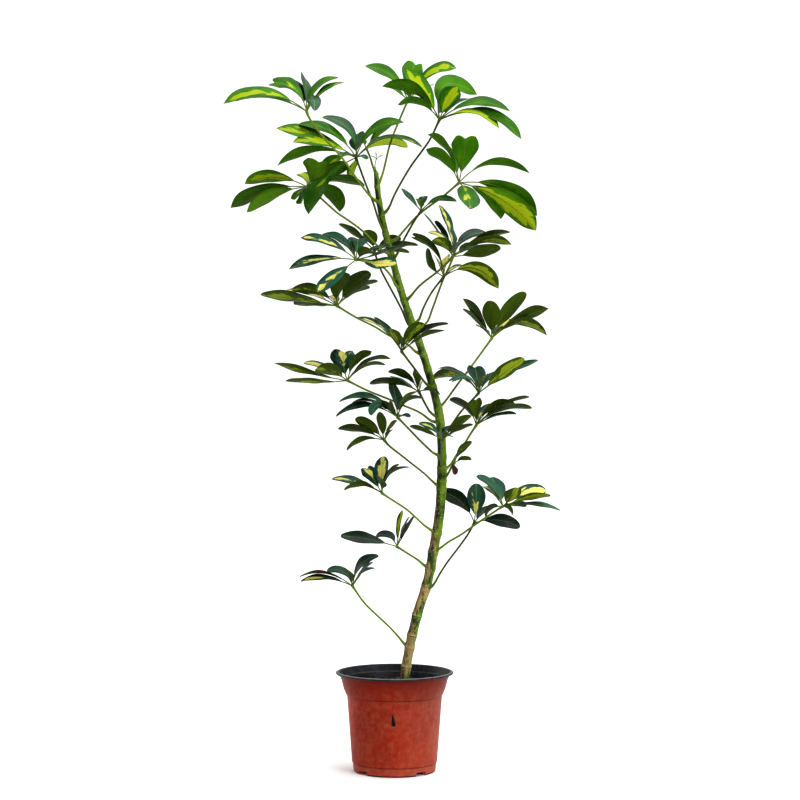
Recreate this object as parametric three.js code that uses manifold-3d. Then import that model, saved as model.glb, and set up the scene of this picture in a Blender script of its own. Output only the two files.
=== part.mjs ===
// Potted umbrella plant: a variegated dwarf Schefflera on one leaning trunk, in a nursery pot.
// Millimetres, +Z up. The origin is the centre of the pot's base, on the surface it stands on.
// The plant is seen along +Y, so a negative depth is nearer the viewer and a positive one further.

import * as THREE from "three";
import { mergeVertices } from "three/addons/utils/BufferGeometryUtils.js";
import Module from "manifold-3d";

const wasm = await Module();
wasm.setup();

// Clearance that a piece keeps from the piece it stands in or grows from
const GAP = 0.3;

// Pot: a thin moulded wall with a step near the foot, a step near the rim and a rolled lip
const POT_SIDES = 26;
const POT_FLOOR_TOP = 6.4;
const POT_FLOOR_UNDERSIDE = 4.2;
const POT_OUTER_WALL = [
  [52, 0], [53.2, 10.5], [54.2, 11.5], [60.6, 95.5], [61.8, 97], [64.9, 104.6], [67.7, 115.6],
  [71, 120.5], [75, 121.5], [75, 125],
];
const POT_INNER_WALL = [
  [71, 126.2], [66, 116.5], [63.2, 105.2], [59.1, 96.4], [52.4, 12], [50.4, POT_FLOOR_TOP],
];
const POT_FOOT_INNER_RADIUS = 47;
const POT_CENTRE_PAD_RADIUS = 14;
const DRAIN_HOLES = { count: 8, radius: 4.5, ringRadius: 34, sides: 8 };
const FOOT_NOTCHES = { count: 4, width: 15, height: 4.6, firstAngle: -140 };

// Soil: fills the pot to just under the rim, with a lumpy top
const SOIL_SIDES = 20;
const SOIL_LEVEL = 110;
const SOIL_LUMP = 1.6;
const SOIL_PROFILE = [
  [0, POT_FLOOR_TOP + GAP], [49.4, POT_FLOOR_TOP + GAP], [58, 96.6], [62.7, 107.5], [61, SOIL_LEVEL - 0.5],
  [45, SOIL_LEVEL], [26, SOIL_LEVEL + 1], [0, SOIL_LEVEL + 0.5],
];

// Trunk: centreline as [x, height, depth], radius as [height, radius], rings left by fallen leaves
const TRUNK_SIDES = 8;
const TRUNK_LINE = [
  [11.5, 50, 0], [13, 118, 0], [28.5, 197, 1], [41, 236, 2], [50, 282, 2], [57.7, 330, 1], [60.4, 385, 0],
  [59, 434, -2], [56, 457, -2], [47.6, 491, -1], [36, 531, 0], [23, 567, 1], [9, 608, 2], [-1, 643, 2],
  [-11.6, 684, 1], [-20, 726, 0], [-24, 765, 0],
];
const TRUNK_RADIUS = [
  [50, 6], [118, 6.1], [330, 6.3], [430, 5.5], [530, 4.8], [660, 4.3], [750, 3.5], [765, 2.4],
];
const TRUNK_SCARS = [132, 172, 197, 235, 258, 279];
const SCAR_SWELLING = 1.09;
const SCAR_HALF_HEIGHT = 2.4;
const TRUNK_RING_SPACING = 42;

// Leaf stalks and leaflets
const STALK_SIDES = 4;
const STALK_RINGS = { fewest: 4, most: 7, spacing: 24 };
const STALK_RADIUS = 1.4;
const STALK_BASE_RADIUS = 2.7;
const STALK_BASE_LENGTH = 11;
const HUB_RADIUS = 4.4;
const PETIOLULE_HALF_WIDTH = 0.7;
const BLADE_HALF_THICKNESS = 0.75;
const BLADE_KEEL = 0.16;
const BLADE_WIDTH_TO_REACH = 0.29;
const LEAFLET_SIZE = 0.85;
const LEAFLET_RISE = 0.07;
const VIA_RANGE = [0.35, 0.65];

// Stations along a leaflet and the blade's half width there, as a share of its widest half
const PLAIN_OUTLINE = [[0, 0], [0.2, 0.06], [0.41, 0.74], [0.66, 1], [0.89, 0.74], [1, 0.06]];
const SMALL_OUTLINE = [[0, 0], [0.2, 0.06], [0.5, 0.94], [0.82, 0.9], [1, 0.1]];
const SMALL_SIZE = 0.81;
const NARROW_SHOW = 0.41;
const NOTCHED_OUTLINE = [[0, 0], [0.22, 0.06], [0.46, 0.7], [0.74, 1], [0.93, 0.94], [1, 0.52]];
const NOTCH_DEPTH = 0.13;

// The plant is drawn as it is seen from the front, from this point
const VIEW_DISTANCE = 2500;
const VIEW_X = 6.9;
const VIEW_HEIGHT = 471.3;

// Every compound leaf: where its stalk leaves the trunk, the stalk's route, the hub that the leaflets
// spread from, its reach, and its leaflets. Places are [x, height] as seen from the front, and the hub
// has its depth as well. A leaflet is [tip x, tip height, lean, show, extras]: lean runs from -1,
// reaching forwards, to 1, reaching back, and show is the share of the blade's width that the viewer
// sees, above 0 for its upper side and below 0 for its underside. The extras are via, a place that its
// midrib passes near the middle, notched for a tip with two lobes, size, its length as a share of the
// reach, wide, its width against the usual one, and rise, how far it arches upwards.
const LEAVES = [
  {
    name: "leaf_01_top_back", node: 760, hub: [-36, 792, 62], reach: 46,
    stalk: [[-28, 770], [-31, 780]],
    leaflets: [
      [2, 828, 0.9, -0.5, { size: 1.3 }], [-16, 816, 0.9, -0.5], [-45, 806, 0.7, 0.6],
    ],
  },
  {
    name: "leaf_02_top_right", node: 743, hub: [17, 853, 78], reach: 78,
    stalk: [[-16, 757], [-5, 800], [7, 830]],
    leaflets: [
      [-38, 897, 0.3, 0.68, { via: [-10, 888], size: 0.98 }],
      [26, 902, 0.7, 1, { via: [20, 880], notched: true, wide: 1.25 }],
      [79, 894, 0.2, 0.7, { via: [55, 893], size: 1 }], [47, 873, 0.85, 0.5], [28, 869, -0.6, -0.5],
      [-6, 869, -0.5, 0.5],
    ],
  },
  {
    name: "leaf_03_top_left", node: 723, hub: [-112, 839, -60], reach: 106,
    stalk: [[-28, 728, -9], [-40, 742, -16], [-68, 781], [-94, 810], [-109, 831]],
    leaflets: [
      [-219, 850, 0, 0.55, { via: [-172, 863] }],
      [-206, 846, 0.45, 0.3, { via: [-165, 850], size: 0.98 }],
      [-158, 876, 0.4, 0.62, { via: [-132, 870], notched: true }],
      [-147, 883, 0.9, 0.5, { via: [-130, 872] }], [-114, 881, 0.95, 0.4],
      [-72, 883, 0.6, 0.45, { via: [-95, 872] }], [-64, 877, 0.2, 0.2, { via: [-85, 868], size: 0.75 }],
      [-102, 841, -0.95, 0.9, { via: [-103, 853], size: 0.75 }],
    ],
  },
  {
    name: "leaf_04_top_right", node: 706, hub: [57, 828, -10], reach: 106,
    stalk: [[-8, 715], [0, 733], [20, 768], [36, 790], [45, 803]],
    leaflets: [
      [-16, 872, -0.3, -0.36, { via: [25, 866] }], [4, 848, -0.6, -0.22, { via: [25, 851], size: 0.7 }],
      [15, 892, 0.3, 0.8, { via: [34, 868] }], [106, 861, 0.5, 0.8, { via: [72, 874] }],
      [80, 870, 0.55, 0.6, { via: [68, 852] }], [54, 858, 0.95, 0.35, { size: 0.65 }],
      [94, 855, 0.9, 0.4, { size: 0.7 }], [148, 840, 0.3, 0.45, { via: [110, 850], size: 0.92 }],
      [133, 817, -0.4, -0.35, { via: [98, 838] }], [162, 804, 0, -0.6, { via: [118, 836] }],
    ],
  },
  {
    name: "leaf_05_upper_left", node: 683, hub: [-49, 780, 32], reach: 100,
    stalk: [[-20, 700, -7], [-27, 722, -3], [-33, 737, 4], [-40, 755, 14]],
    leaflets: [
      [-122, 823, 0.3, 0.5, { via: [-95, 826], size: 0.9 }], [-151, 818, 0, 0.5, { via: [-105, 808] }],
      [-130, 800, -0.75, 0.3, { via: [-95, 800], size: 0.9 }],
      [-149, 769, -0.2, -0.35, { via: [-105, 789], size: 1 }], [-92, 832, 0.6, 0.62, { via: [-68, 816] }],
      [-46, 811, 0.1, 0.8, { size: 0.6 }], [-67, 781, -0.9, 0.5, { size: 0.5 }],
      [-37, 778, -0.9, 0.6, { size: 0.45 }], [-110, 708, -0.5, 0.85, { via: [-92, 748], size: 1 }],
      [12, 824, -0.4, 0.55, { via: [-22, 818] }], [35, 793, -0.3, 0.3, { via: [0, 806], size: 0.88 }],
      [17, 795, 0.8, 0.6, { via: [-10, 800] }], [-55, 755, 0.8, -0.5, { size: 0.45 }],
    ],
  },
  {
    name: "leaf_06_upper_right", node: 672, hub: [82, 748, -46], reach: 106,
    stalk: [[3, 677], [10, 685], [28, 705], [40, 715], [62, 731]],
    leaflets: [
      [42, 809, 0.2, -0.2, { via: [62, 796] }], [40, 791, -0.5, -0.42, { via: [60, 780], size: 0.7 }],
      [69, 795, 0.8, 0.35, { size: 0.65 }],
      [91, 808, -0.7, -1, { via: [89, 788], notched: true, wide: 1.15, size: 0.8 }],
      [172, 760, 0.4, -0.35, { via: [135, 774] }],
      [182, 706, -0.1, -0.6, { via: [145, 738], size: 1.03 }],
      [180, 687, -0.4, -0.75, { via: [140, 725], size: 1.1 }], [136, 702, 0.6, -0.5, { via: [120, 730] }],
      [94, 716, -0.85, 0.9, { via: [92, 738], size: 0.75 }],
    ],
  },
  {
    name: "leaf_07_mid_left", node: 657, hub: [-112, 743, 38], reach: 96,
    stalk: [[-14, 661, -10], [-25, 671, -8], [-40, 686, 0], [-60, 701], [-72, 709], [-97, 731]],
    leaflets: [
      [-191, 747, 0.6, -0.5, { via: [-160, 755], size: 0.9 }],
      [-209, 716, 0, -0.5, { via: [-165, 738], size: 1.03 }],
      [-189, 711, -0.5, -0.45, { via: [-155, 732], size: 0.95 }], [-127, 726, -0.95, 0.6, { size: 0.5 }],
      [-119, 722, -0.9, 0.5, { size: 0.62 }], [-119, 760, 0.95, 0.8, { via: [-112, 752], size: 0.6 }],
      [-98, 777, 0.3, -1, { via: [-102, 762], notched: true, wide: 1.3, size: 0.65 }],
      [-68, 779, 0.95, -0.5, { via: [-88, 768], size: 0.75 }], [-58, 769, 0.3, -0.65, { size: 0.7 }],
      [-38, 744, 0.2, -0.3, { via: [-75, 752] }], [-70, 711, 0.7, -0.8, { via: [-80, 735], size: 0.75 }],
    ],
  },
  {
    name: "leaf_08_mid_right", node: 650, hub: [34, 712, -52], reach: 50,
    stalk: [[3, 657], [10, 672], [28, 704]],
    leaflets: [
      [9, 741, 0.5, 0.5, { via: [20, 728], size: 0.9 }], [31, 727, -0.9, -0.7, { size: 0.6 }],
      [37, 731, 0.9, 0.9, { size: 0.75 }], [79, 724, 0, 0.6, { via: [55, 727] }],
    ],
  },
  {
    name: "leaf_09_mid_left", node: 612, hub: [-49, 650, -36], reach: 88,
    stalk: [[2, 617], [-5, 630], [-14, 640], [-25, 647], [-38, 650]],
    leaflets: [
      [-120, 679, 0.4, 0.5, { via: [-85, 672], size: 0.95 }],
      [-135, 638, -0.3, 0.5, { via: [-95, 650], size: 1 }], [-92, 684, 0.75, 0.5, { via: [-68, 674] }],
      [-46, 677, 0.9, 0.85, { wide: 0.9, size: 0.75 }], [2, 644, -0.7, 0.65, { via: [-22, 645] }],
      [16, 668, -0.3, 0.25, { via: [-18, 658], size: 0.8 }],
      [-6, 667, -0.5, 0.25, { via: [-25, 664], size: 0.65 }], [-28, 661, -0.8, -0.5, { size: 0.6 }],
      [-58, 676, 0.6, -0.4, { size: 0.6 }], [-98, 608, -0.6, 0.75, { via: [-72, 632] }],
    ],
  },
  {
    name: "leaf_10_mid_right", node: 598, hub: [74, 654, -36], reach: 82,
    stalk: [[17, 600], [32, 617], [55, 635], [66, 645]],
    leaflets: [
      [43, 686, 0.5, 0.4, { via: [60, 678], size: 0.7 }],
      [50, 677, -0.7, -0.6, { via: [63, 669], size: 0.7 }],
      [148, 685, 0.5, -0.3, { via: [112, 677], size: 0.98 }],
      [149.5, 670, -0.35, -0.35, { via: [115, 674], size: 0.95 }],
      [135, 666, -0.6, -0.62, { via: [102, 658] }], [85, 674, 0.8, 0.4, { size: 0.6 }],
      [117, 667, 0.6, 0.3, { size: 0.7 }],
    ],
  },
  {
    name: "leaf_11_mid_back_right", node: 560, hub: [76, 657, 66], reach: 82,
    stalk: [[41, 570], [48, 587], [62, 625], [70, 642]],
    leaflets: [
      [57, 720, 0.5, 0.45, { via: [69, 692] }], [51, 699, 0.2, -0.3, { size: 0.65 }],
      [117, 684, 0.7, 0.6, { via: [95, 680] }], [69, 694, 0.9, 0.5],
      [37, 710, -0.2, 0.1, { via: [52, 690], size: 0.82 }], [108, 664, -0.6, -0.4],
    ],
  },
  {
    name: "leaf_12_mid_right", node: 568, hub: [62.6, 628.5, 10], reach: 72,
    stalk: [[30, 572], [36, 587], [47, 608]],
    leaflets: [
      [22, 681, -0.2, -0.5, { via: [46, 668], notched: true, wide: 0.8, size: 0.93 }],
      [42.6, 665, -0.35, -0.5, { via: [44, 648], size: 0.65 }], [66, 655.4, 0.9, 0.6, { size: 0.6 }],
      [51.5, 654, 0.8, 0.2, { size: 0.55 }], [132, 613, 0.3, -0.85, { via: [106, 638], size: 1 }],
      [87, 643.5, 0.8, 0.3, { size: 0.6 }],
    ],
  },
  {
    name: "leaf_13_mid_back", node: 558, hub: [-26, 662, 74], reach: 66,
    stalk: [[17, 568, 12], [9.8, 585, 18], [-10.8, 624], [-17, 636], [-22, 649]],
    leaflets: [
      [-71, 696, 0, -0.4, { via: [-50, 683] }], [-35, 688, -0.6, -0.9, { via: [-30, 676] }],
      [8, 675, 0.5, -0.5, { via: [-8, 674] }], [30, 668, -0.1, -0.3, { via: [5, 669] }],
      [19, 659, -0.5, -0.3, { via: [0, 662], size: 0.75 }], [-5, 656, 0.6, -0.4, { size: 0.6 }],
    ],
  },
  {
    name: "leaf_14_mid_left", node: 529, hub: [-73, 591, 20], reach: 94,
    stalk: [[28, 532], [18, 541], [8, 547.5], [-8, 554], [-24, 564], [-50, 577]],
    leaflets: [
      [-171, 604.5, 0, -0.4, { via: [-130, 601], size: 1.05 }],
      [-128, 593, 0.8, -0.3, { via: [-100, 593], size: 0.75 }],
      [-131, 611, -0.5, -0.5, { via: [-105, 611], size: 0.75 }], [-139, 610, 0.6, 0.3],
      [-60, 633, -0.75, -0.75, { via: [-72, 612], size: 0.7 }],
      [-31, 634, -0.6, -0.75, { via: [-52, 618], size: 0.75 }],
      [-21, 622, 0.2, -0.25, { via: [-50, 612], size: 0.7 }],
      [-31.6, 613, 0.75, -0.25, { via: [-52, 608], size: 0.65 }], [-84, 604, 0.85, 0.5, { size: 0.5 }],
      [-71, 607, 0.9, 0.4, { size: 0.45 }],
    ],
  },
  {
    name: "leaf_15_front", node: 487, hub: [9, 533, -56], reach: 80,
    stalk: [[40, 492, -9], [36, 497, -14], [28, 508], [20, 518.5]],
    leaflets: [
      [-48, 577, -0.15, 0.25, { via: [-20, 566], size: 0.9 }],
      [-26, 577, 0.8, 0.4, { via: [-10, 560], size: 0.75 }], [-6, 562, -0.7, -0.6, { size: 0.6 }],
      [38, 569, -0.6, -0.75, { via: [22, 556], size: 0.72 }],
      [69, 568, -0.2, -0.25, { via: [40, 561], size: 0.9 }],
      [64, 560, -0.6, -0.2, { via: [38, 553], size: 0.85 }], [8, 554, 0.5, 0.4, { size: 0.5 }],
    ],
  },
  {
    name: "leaf_16_mid_right", node: 460, hub: [124, 550, 32], reach: 84,
    stalk: [[64, 469, 10], [75, 484, 20], [83, 495, 26], [91, 505, 30], [100, 517, 32]],
    leaflets: [
      [87.6, 600.7, 0.4, -0.4, { via: [106, 578] }],
      [87.6, 587, 0.8, -0.15, { via: [104, 572], size: 0.75 }], [106.3, 565, 0.9, 0.15, { size: 0.5 }],
      [123, 597.5, -0.6, -0.95, { via: [123, 577] }],
      [168, 607.5, -0.2, -0.75, { via: [148, 588], size: 0.88 }],
      [196, 588.4, 0, -0.6, { via: [160, 575] }], [194, 553.6, 0.45, -0.45, { via: [165, 570] }],
      [145, 574, 0.85, 0.4, { via: [137, 565], size: 0.65 }], [134, 565, 0.9, 0.4, { size: 0.4 }],
    ],
  },
  {
    name: "leaf_17_lower_left", node: 442, hub: [-60, 496, 14], reach: 96,
    stalk: [[46, 445], [38.6, 451], [28, 457.5], [12, 464], [-4, 471], [-36, 484]],
    leaflets: [
      [-154, 517.5, 0, -0.3, { via: [-115, 507] }], [-139.7, 496, 0.5, -0.25, { via: [-105, 494] }],
      [-115, 518.6, 0.75, 0.35, { via: [-95, 514], size: 0.75 }],
      [-99.4, 511.7, -0.75, -0.5, { via: [-82, 508], size: 0.7 }],
      [-65, 535, 0.8, 1, { via: [-65, 515], notched: true, size: 0.6 }],
      [-28.8, 533, -0.5, -0.45, { via: [-45, 524], size: 0.65 }],
      [-4.4, 524.4, 0.3, -0.2, { via: [-30, 522], size: 0.72 }],
      [-11.3, 516.5, -0.3, -0.2, { via: [-35, 515], size: 0.62 }],
    ],
  },
  {
    name: "leaf_18_lower_left", node: 448, hub: [31, 482, -24], reach: 72,
    stalk: [[46, 455, -9], [42, 461, -14], [36.5, 471]],
    leaflets: [
      [-32, 492.6, -0.5, -0.4, { via: [0, 493.5], size: 1.05 }],
      [-7, 502.6, 0.8, 0.2, { via: [12, 493] }], [-8, 506, 0.3, -0.45, { via: [12, 503] }],
      [27, 507.5, -0.75, -0.6, { via: [28, 495], notched: true, size: 0.6, wide: 0.9 }],
      [35.5, 496, 0.3, 0.2, { size: 0.35 }], [57.8, 478, -0.6, -0.25, { via: [46, 484], size: 0.65 }],
    ],
  },
  {
    name: "leaf_19_lower_right", node: 428, hub: [107, 480, -26], reach: 86,
    stalk: [[71.5, 438], [79, 449], [87.5, 460], [100, 472.4]],
    leaflets: [
      [55, 512, -0.4, 0.22, { via: [82, 508], size: 0.75 }],
      [49, 497, 0.95, -0.45, { via: [78, 509], size: 1 }],
      [74, 490, -0.8, 0.5, { via: [95, 499], size: 0.65 }],
      [102, 514.5, 0.75, 0.95, { via: [105, 500], notched: true }],
      [114, 502, -0.85, -0.6, { size: 0.6 }], [165, 524.4, -0.9, -0.7, { via: [137, 504], size: 0.9 }],
      [183, 522, 0.9, 0.3, { via: [150, 508], size: 1.05 }],
      [136, 509, 0.8, 0.35, { via: [122, 500], size: 0.7 }],
    ],
  },
  {
    name: "leaf_20_lower_front", node: 399, hub: [4, 449, -62], reach: 80,
    stalk: [[49, 404, -10], [45, 407.6, -14], [33, 419], [18.5, 434]],
    leaflets: [
      [-71, 469, 0.2, 0.28, { via: [-40, 476], size: 1 }], [-54, 467, 0.6, -0.12, { via: [-32, 470] }],
      [-75, 450, -0.2, 0.25, { via: [-40, 464], size: 1.02 }],
      [-30, 452, -0.8, 0.6, { via: [-22, 464], size: 0.6 }],
      [-14, 471, -0.7, -0.5, { via: [-8, 462], size: 0.55 }], [-7, 468, 0.5, -0.2, { size: 0.4 }],
      [-3, 494, 0.85, 0.6, { via: [1, 474], size: 1 }], [30, 483, -0.5, -0.2, { via: [13, 471] }],
      [37, 473, 0.3, -0.18, { via: [20, 472] }], [16, 449.5, -0.8, 0.2, { size: 0.45 }],
    ],
  },
  {
    name: "leaf_21_lower_front", node: 384, hub: [61, 421, -62], reach: 58,
    stalk: [[59.5, 398, -18], [60.5, 411, -40]],
    leaflets: [
      [31, 441.6, 0.3, 0.5, { via: [46, 436] }], [19, 438, -0.3, -0.4, { via: [40, 431] }],
      [62, 434, 0.95, 0.25, { size: 0.6 }], [72, 426, -0.85, -0.6, { size: 0.6 }],
      [69, 439, 0.3, 0.5, { size: 0.7 }], [98, 451, 0.2, -0.6, { via: [80, 441] }],
      [100, 440, -0.5, -0.4, { via: [84, 435] }],
    ],
  },
  {
    name: "leaf_22_lower_right", node: 379, hub: [104, 439, 34], reach: 76,
    stalk: [[72, 390, 8], [78, 400], [88, 414], [98, 430]],
    leaflets: [
      [70, 471, 0.5, -0.45, { via: [90, 463] }],
      [104, 473.5, -0.3, -0.85, { via: [104, 460], notched: true, size: 0.7 }],
      [119, 466.6, 0.8, 0.4, { via: [112, 456], size: 0.65 }],
      [153, 468, -0.7, -0.5, { via: [130, 464] }],
      [172, 474, 0.5, -0.25, { via: [140, 466], size: 1.02 }],
      [175, 460, -0.2, -0.35, { via: [145, 461], size: 1 }], [155, 453, -0.6, 0.18, { via: [132, 452] }],
    ],
  },
  {
    name: "leaf_23_lower_right", node: 368, hub: [76, 391, -24], reach: 40,
    stalk: [[68, 377, -9], [72, 385, -16]],
    leaflets: [
      [98.6, 418, 0.1, -0.4, { via: [84, 406], size: 0.95 }],
      [98, 396, -0.6, 0.6, { via: [86, 396], size: 0.8 }], [76, 376, -0.5, 0.6, { size: 0.45 }],
    ],
  },
  {
    name: "leaf_24_lower_left", node: 358, hub: [-13, 420, -20], reach: 62,
    stalk: [[49, 367], [38.6, 377], [22.7, 389.6], [7, 402], [-8, 414]],
    leaflets: [
      [-61.4, 407.6, -0.4, -0.4, { via: [-35, 422], size: 0.9 }],
      [-72, 434, 0, -0.5, { via: [-42, 433], size: 1 }], [-50, 448, -0.5, -0.78, { via: [-32, 438] }],
      [-18, 456, -0.6, -0.75, { via: [-17, 440], size: 0.75 }],
      [3, 445, 0.4, -0.35, { via: [-7, 434], size: 0.65 }], [-3, 434, 0.7, 0.3, { size: 0.5 }],
    ],
  },
  {
    name: "leaf_25_low_left", node: 301, hub: [-16, 352.5, -32], reach: 72,
    stalk: [[38.6, 311], [26, 322.6], [14, 333], [0, 342]],
    leaflets: [
      [-80, 370.5, 0.1, 0.4, { via: [-50, 367], size: 0.95 }],
      [-65, 357, -0.5, -0.4, { via: [-45, 363] }],
      [-37, 386, 0.6, 0.9, { via: [-28, 372], notched: true }],
      [-15, 399.5, 0.6, 0.8, { via: [-16, 380] }], [-18, 373, -0.85, -0.65, { size: 0.6 }],
      [5.7, 389.6, 0.3, -0.25, { via: [-8, 377], size: 0.7 }],
      [19.3, 385.4, -0.3, -0.25, { via: [-2, 380], size: 0.75 }],
    ],
  },
  {
    name: "leaf_26_low_right", node: 277, hub: [138, 336, -44], reach: 78,
    stalk: [[58.8, 283, -6], [68, 290], [85, 300], [102, 312], [125, 327.5]],
    leaflets: [
      [104.5, 375.5, 0.3, 0.45, { via: [122, 363] }], [123, 373, 0.6, 0.85, { via: [131, 358] }],
      [114, 361, 0.9, 0.4, { size: 0.7 }], [156, 360, -0.75, -0.9, { via: [150, 350], size: 0.7 }],
      [193, 356, 0.4, 0.72, { via: [172, 355] }], [199, 349, -0.2, -0.42, { via: [170, 346] }],
      [212, 331, -0.1, 0.3, { via: [180, 338], size: 0.97 }], [166, 335, 0.8, -0.5, { size: 0.6 }],
      [151, 326, -0.85, -0.4, { size: 0.5 }], [115, 324, -0.6, -0.5, { via: [125, 334], size: 0.55 }],
    ],
  },
  {
    name: "leaf_27_low_left", node: 256, hub: [3, 284.5, 20], reach: 74,
    stalk: [[38, 260.5], [31, 266.6], [18.6, 274.6]],
    leaflets: [
      [-69, 298, -0.1, 0.6, { via: [-35, 294], size: 1 }],
      [-23.4, 298.7, 0.85, 0.5, { via: [-8, 298], size: 0.65 }],
      [9.4, 331, -0.3, -0.35, { via: [6, 310], size: 0.7 }], [19.3, 323, 0.5, 0.1, { size: 0.62 }],
      [26, 324, 0.2, -0.3, { via: [15, 306], size: 0.65 }],
    ],
  },
  {
    name: "leaf_28_low_right", node: 229, hub: [101.5, 315, 16], reach: 72,
    stalk: [[48, 234], [57.7, 250], [67.5, 265], [79.4, 280.6], [94, 301]],
    leaflets: [
      [57, 355, 0.9, 0.85, { via: [80, 345], size: 1 }],
      [104, 365, 0.4, 1, { via: [104, 345], wide: 1.15 }],
      [120, 337, 0.8, 0.4, { via: [112, 328], size: 0.6 }], [159.7, 309, -0.3, 0.8, { via: [132, 318] }],
    ],
  },
  {
    name: "leaf_29_low_left", node: 156, hub: [-53.5, 234, 4], reach: 72,
    stalk: [[12, 161], [6.4, 168], [-6, 181.6], [-24, 198.5], [-39, 213.4]],
    leaflets: [
      [-122, 246.4, 0.2, -0.22, { via: [-85, 250], size: 1 }],
      [-120, 240, -0.3, 0.25, { via: [-85, 244], size: 0.97 }],
      [-86, 254, 0.7, 0.5, { via: [-68, 253], size: 0.65 }], [-60, 255, -0.8, -0.55, { size: 0.55 }],
      [-20.3, 273.5, 0.4, 0.5, { via: [-38, 266], size: 0.8 }], [-28, 265, 0.7, 0.2, { size: 0.7 }],
      [-25, 256.3, -0.5, 0.1, { via: [-40, 252], size: 0.6 }],
    ],
  },
];

// The tuft that is just opening at the growing tip
const TIP_TUFT = { node: 762, stalk: [[-25, 771, -7]], hub: [-23, 779, -11], reach: 12,
  leaflets: [[-30, 782, 0.4, 0.4, { size: 0.7 }], [-15, 783, 0.4, 0.4, { size: 0.7 }],
    [-24, 787, 0.6, 0.4, { size: 0.7 }]] };

const COLOURS = {
  pot: { colour: "#A5331F", roughness: 0.45 },
  soil: { colour: "#2E2119", roughness: 0.95 },
  trunk: { colour: "#7C7A3C", roughness: 0.7 },
  upperLeaf: { colour: "#4C9420", roughness: 0.35 },
  lowerLeaf: { colour: "#2C5B3A", roughness: 0.35 },
};
const UPPER_LEAF_HEIGHT = 700;

const SKYWARD = new THREE.Vector3(0, 0, 1);
const TO_VIEWER = new THREE.Vector3(0, -1, 0);

// A place seen from the front at x and height, at its true depth
function fromFrontView(x, height, depth) {
  const scale = (VIEW_DISTANCE + depth) / VIEW_DISTANCE;
  const trueX = VIEW_X + (x - VIEW_X) * scale;
  const trueHeight = VIEW_HEIGHT + (height - VIEW_HEIGHT) * scale;
  return new THREE.Vector3(trueX, depth, trueHeight);
}

// A closed geometry as a solid that can be joined and cut
function solidOf(geometry) {
  const bare = geometry.clone();
  bare.deleteAttribute("normal");
  bare.deleteAttribute("uv");
  const merged = mergeVertices(bare, 1e-4);
  return new wasm.Manifold(new wasm.Mesh({
    numProp: 3,
    vertProperties: Float32Array.from(merged.attributes.position.array),
    triVerts: Uint32Array.from(merged.index.array),
  }));
}

// A solid as a named mesh whose own origin is at the given place
function meshOf(name, solid, finish, origin = new THREE.Vector3()) {
  const { vertProperties, triVerts } = solid.getMesh();
  const geometry = new THREE.BufferGeometry();
  geometry.setAttribute("position", new THREE.BufferAttribute(Float32Array.from(vertProperties), 3));
  geometry.setIndex(new THREE.BufferAttribute(Uint32Array.from(triVerts), 1));
  geometry.translate(-origin.x, -origin.y, -origin.z);
  geometry.computeVertexNormals();
  const { colour, roughness } = finish;
  const material = new THREE.MeshStandardMaterial({ color: colour, roughness, metalness: 0 });
  const mesh = new THREE.Mesh(geometry, material);
  mesh.name = name;
  mesh.position.copy(origin);
  return mesh;
}

// A closed sweep: a straight extrusion of the section, with each of its rings laid out by place
function sweep(section, rings, place) {
  const shape = new THREE.Shape(section.map(([x, y]) => new THREE.Vector2(x, y)));
  const geometry = new THREE.ExtrudeGeometry(shape, { depth: 1, steps: rings - 1, bevelEnabled: false });
  const position = geometry.attributes.position;
  for (let i = 0; i < position.count; i += 1) {
    const ring = Math.round(position.getZ(i) * (rings - 1));
    const point = place(position.getX(i), position.getY(i), ring);
    position.setXYZ(i, point.x, point.y, point.z);
  }
  return solidOf(geometry);
}

// A round section of radius 1
function roundSection(sides) {
  return Array.from({ length: sides }, (_, i) => {
    const angle = (2 * Math.PI * i) / sides;
    return [Math.cos(angle), Math.sin(angle)];
  });
}

// A value read off a list of [place, value] pairs, in a straight line between them
function interpolate(pairs, place) {
  const next = pairs.findIndex(([at]) => at >= place);
  if (next === 0) return pairs[0][1];
  if (next < 0) return pairs[pairs.length - 1][1];
  const [before, low] = pairs[next - 1];
  const [after, high] = pairs[next];
  return low + ((high - low) * (place - before)) / (after - before);
}

// A turned body from [radius, height] points that start and end on the axis
function turned(profile, sides) {
  const points = profile.map(([radius, height]) => new THREE.Vector2(radius, height));
  const geometry = new THREE.LatheGeometry(points, sides);
  geometry.rotateX(Math.PI / 2);
  return geometry;
}

function potSolid() {
  const profile = [
    [0, 0], [POT_CENTRE_PAD_RADIUS, 0], [POT_CENTRE_PAD_RADIUS + 2, POT_FLOOR_UNDERSIDE],
    [POT_FOOT_INNER_RADIUS - 2, POT_FLOOR_UNDERSIDE], [POT_FOOT_INNER_RADIUS, 0],
    ...POT_OUTER_WALL, ...POT_INNER_WALL, [0, POT_FLOOR_TOP],
  ];
  let pot = solidOf(turned(profile, POT_SIDES));
  for (let i = 0; i < DRAIN_HOLES.count; i += 1) {
    const angle = (2 * Math.PI * (i + 0.5)) / DRAIN_HOLES.count;
    const { radius, ringRadius, sides } = DRAIN_HOLES;
    const hole = new THREE.CylinderGeometry(radius, radius, POT_FLOOR_TOP * 2, sides);
    hole.rotateX(Math.PI / 2);
    hole.translate(ringRadius * Math.cos(angle), ringRadius * Math.sin(angle), POT_FLOOR_TOP);
    pot = pot.subtract(solidOf(hole));
  }
  for (let i = 0; i < FOOT_NOTCHES.count; i += 1) {
    const angle = THREE.MathUtils.degToRad(FOOT_NOTCHES.firstAngle + (360 * i) / FOOT_NOTCHES.count);
    const notch = new THREE.BoxGeometry(POT_FOOT_INNER_RADIUS, FOOT_NOTCHES.width, FOOT_NOTCHES.height * 2);
    notch.translate(POT_FOOT_INNER_RADIUS, 0, 0);
    notch.rotateZ(angle);
    pot = pot.subtract(solidOf(notch));
  }
  return pot;
}

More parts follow.
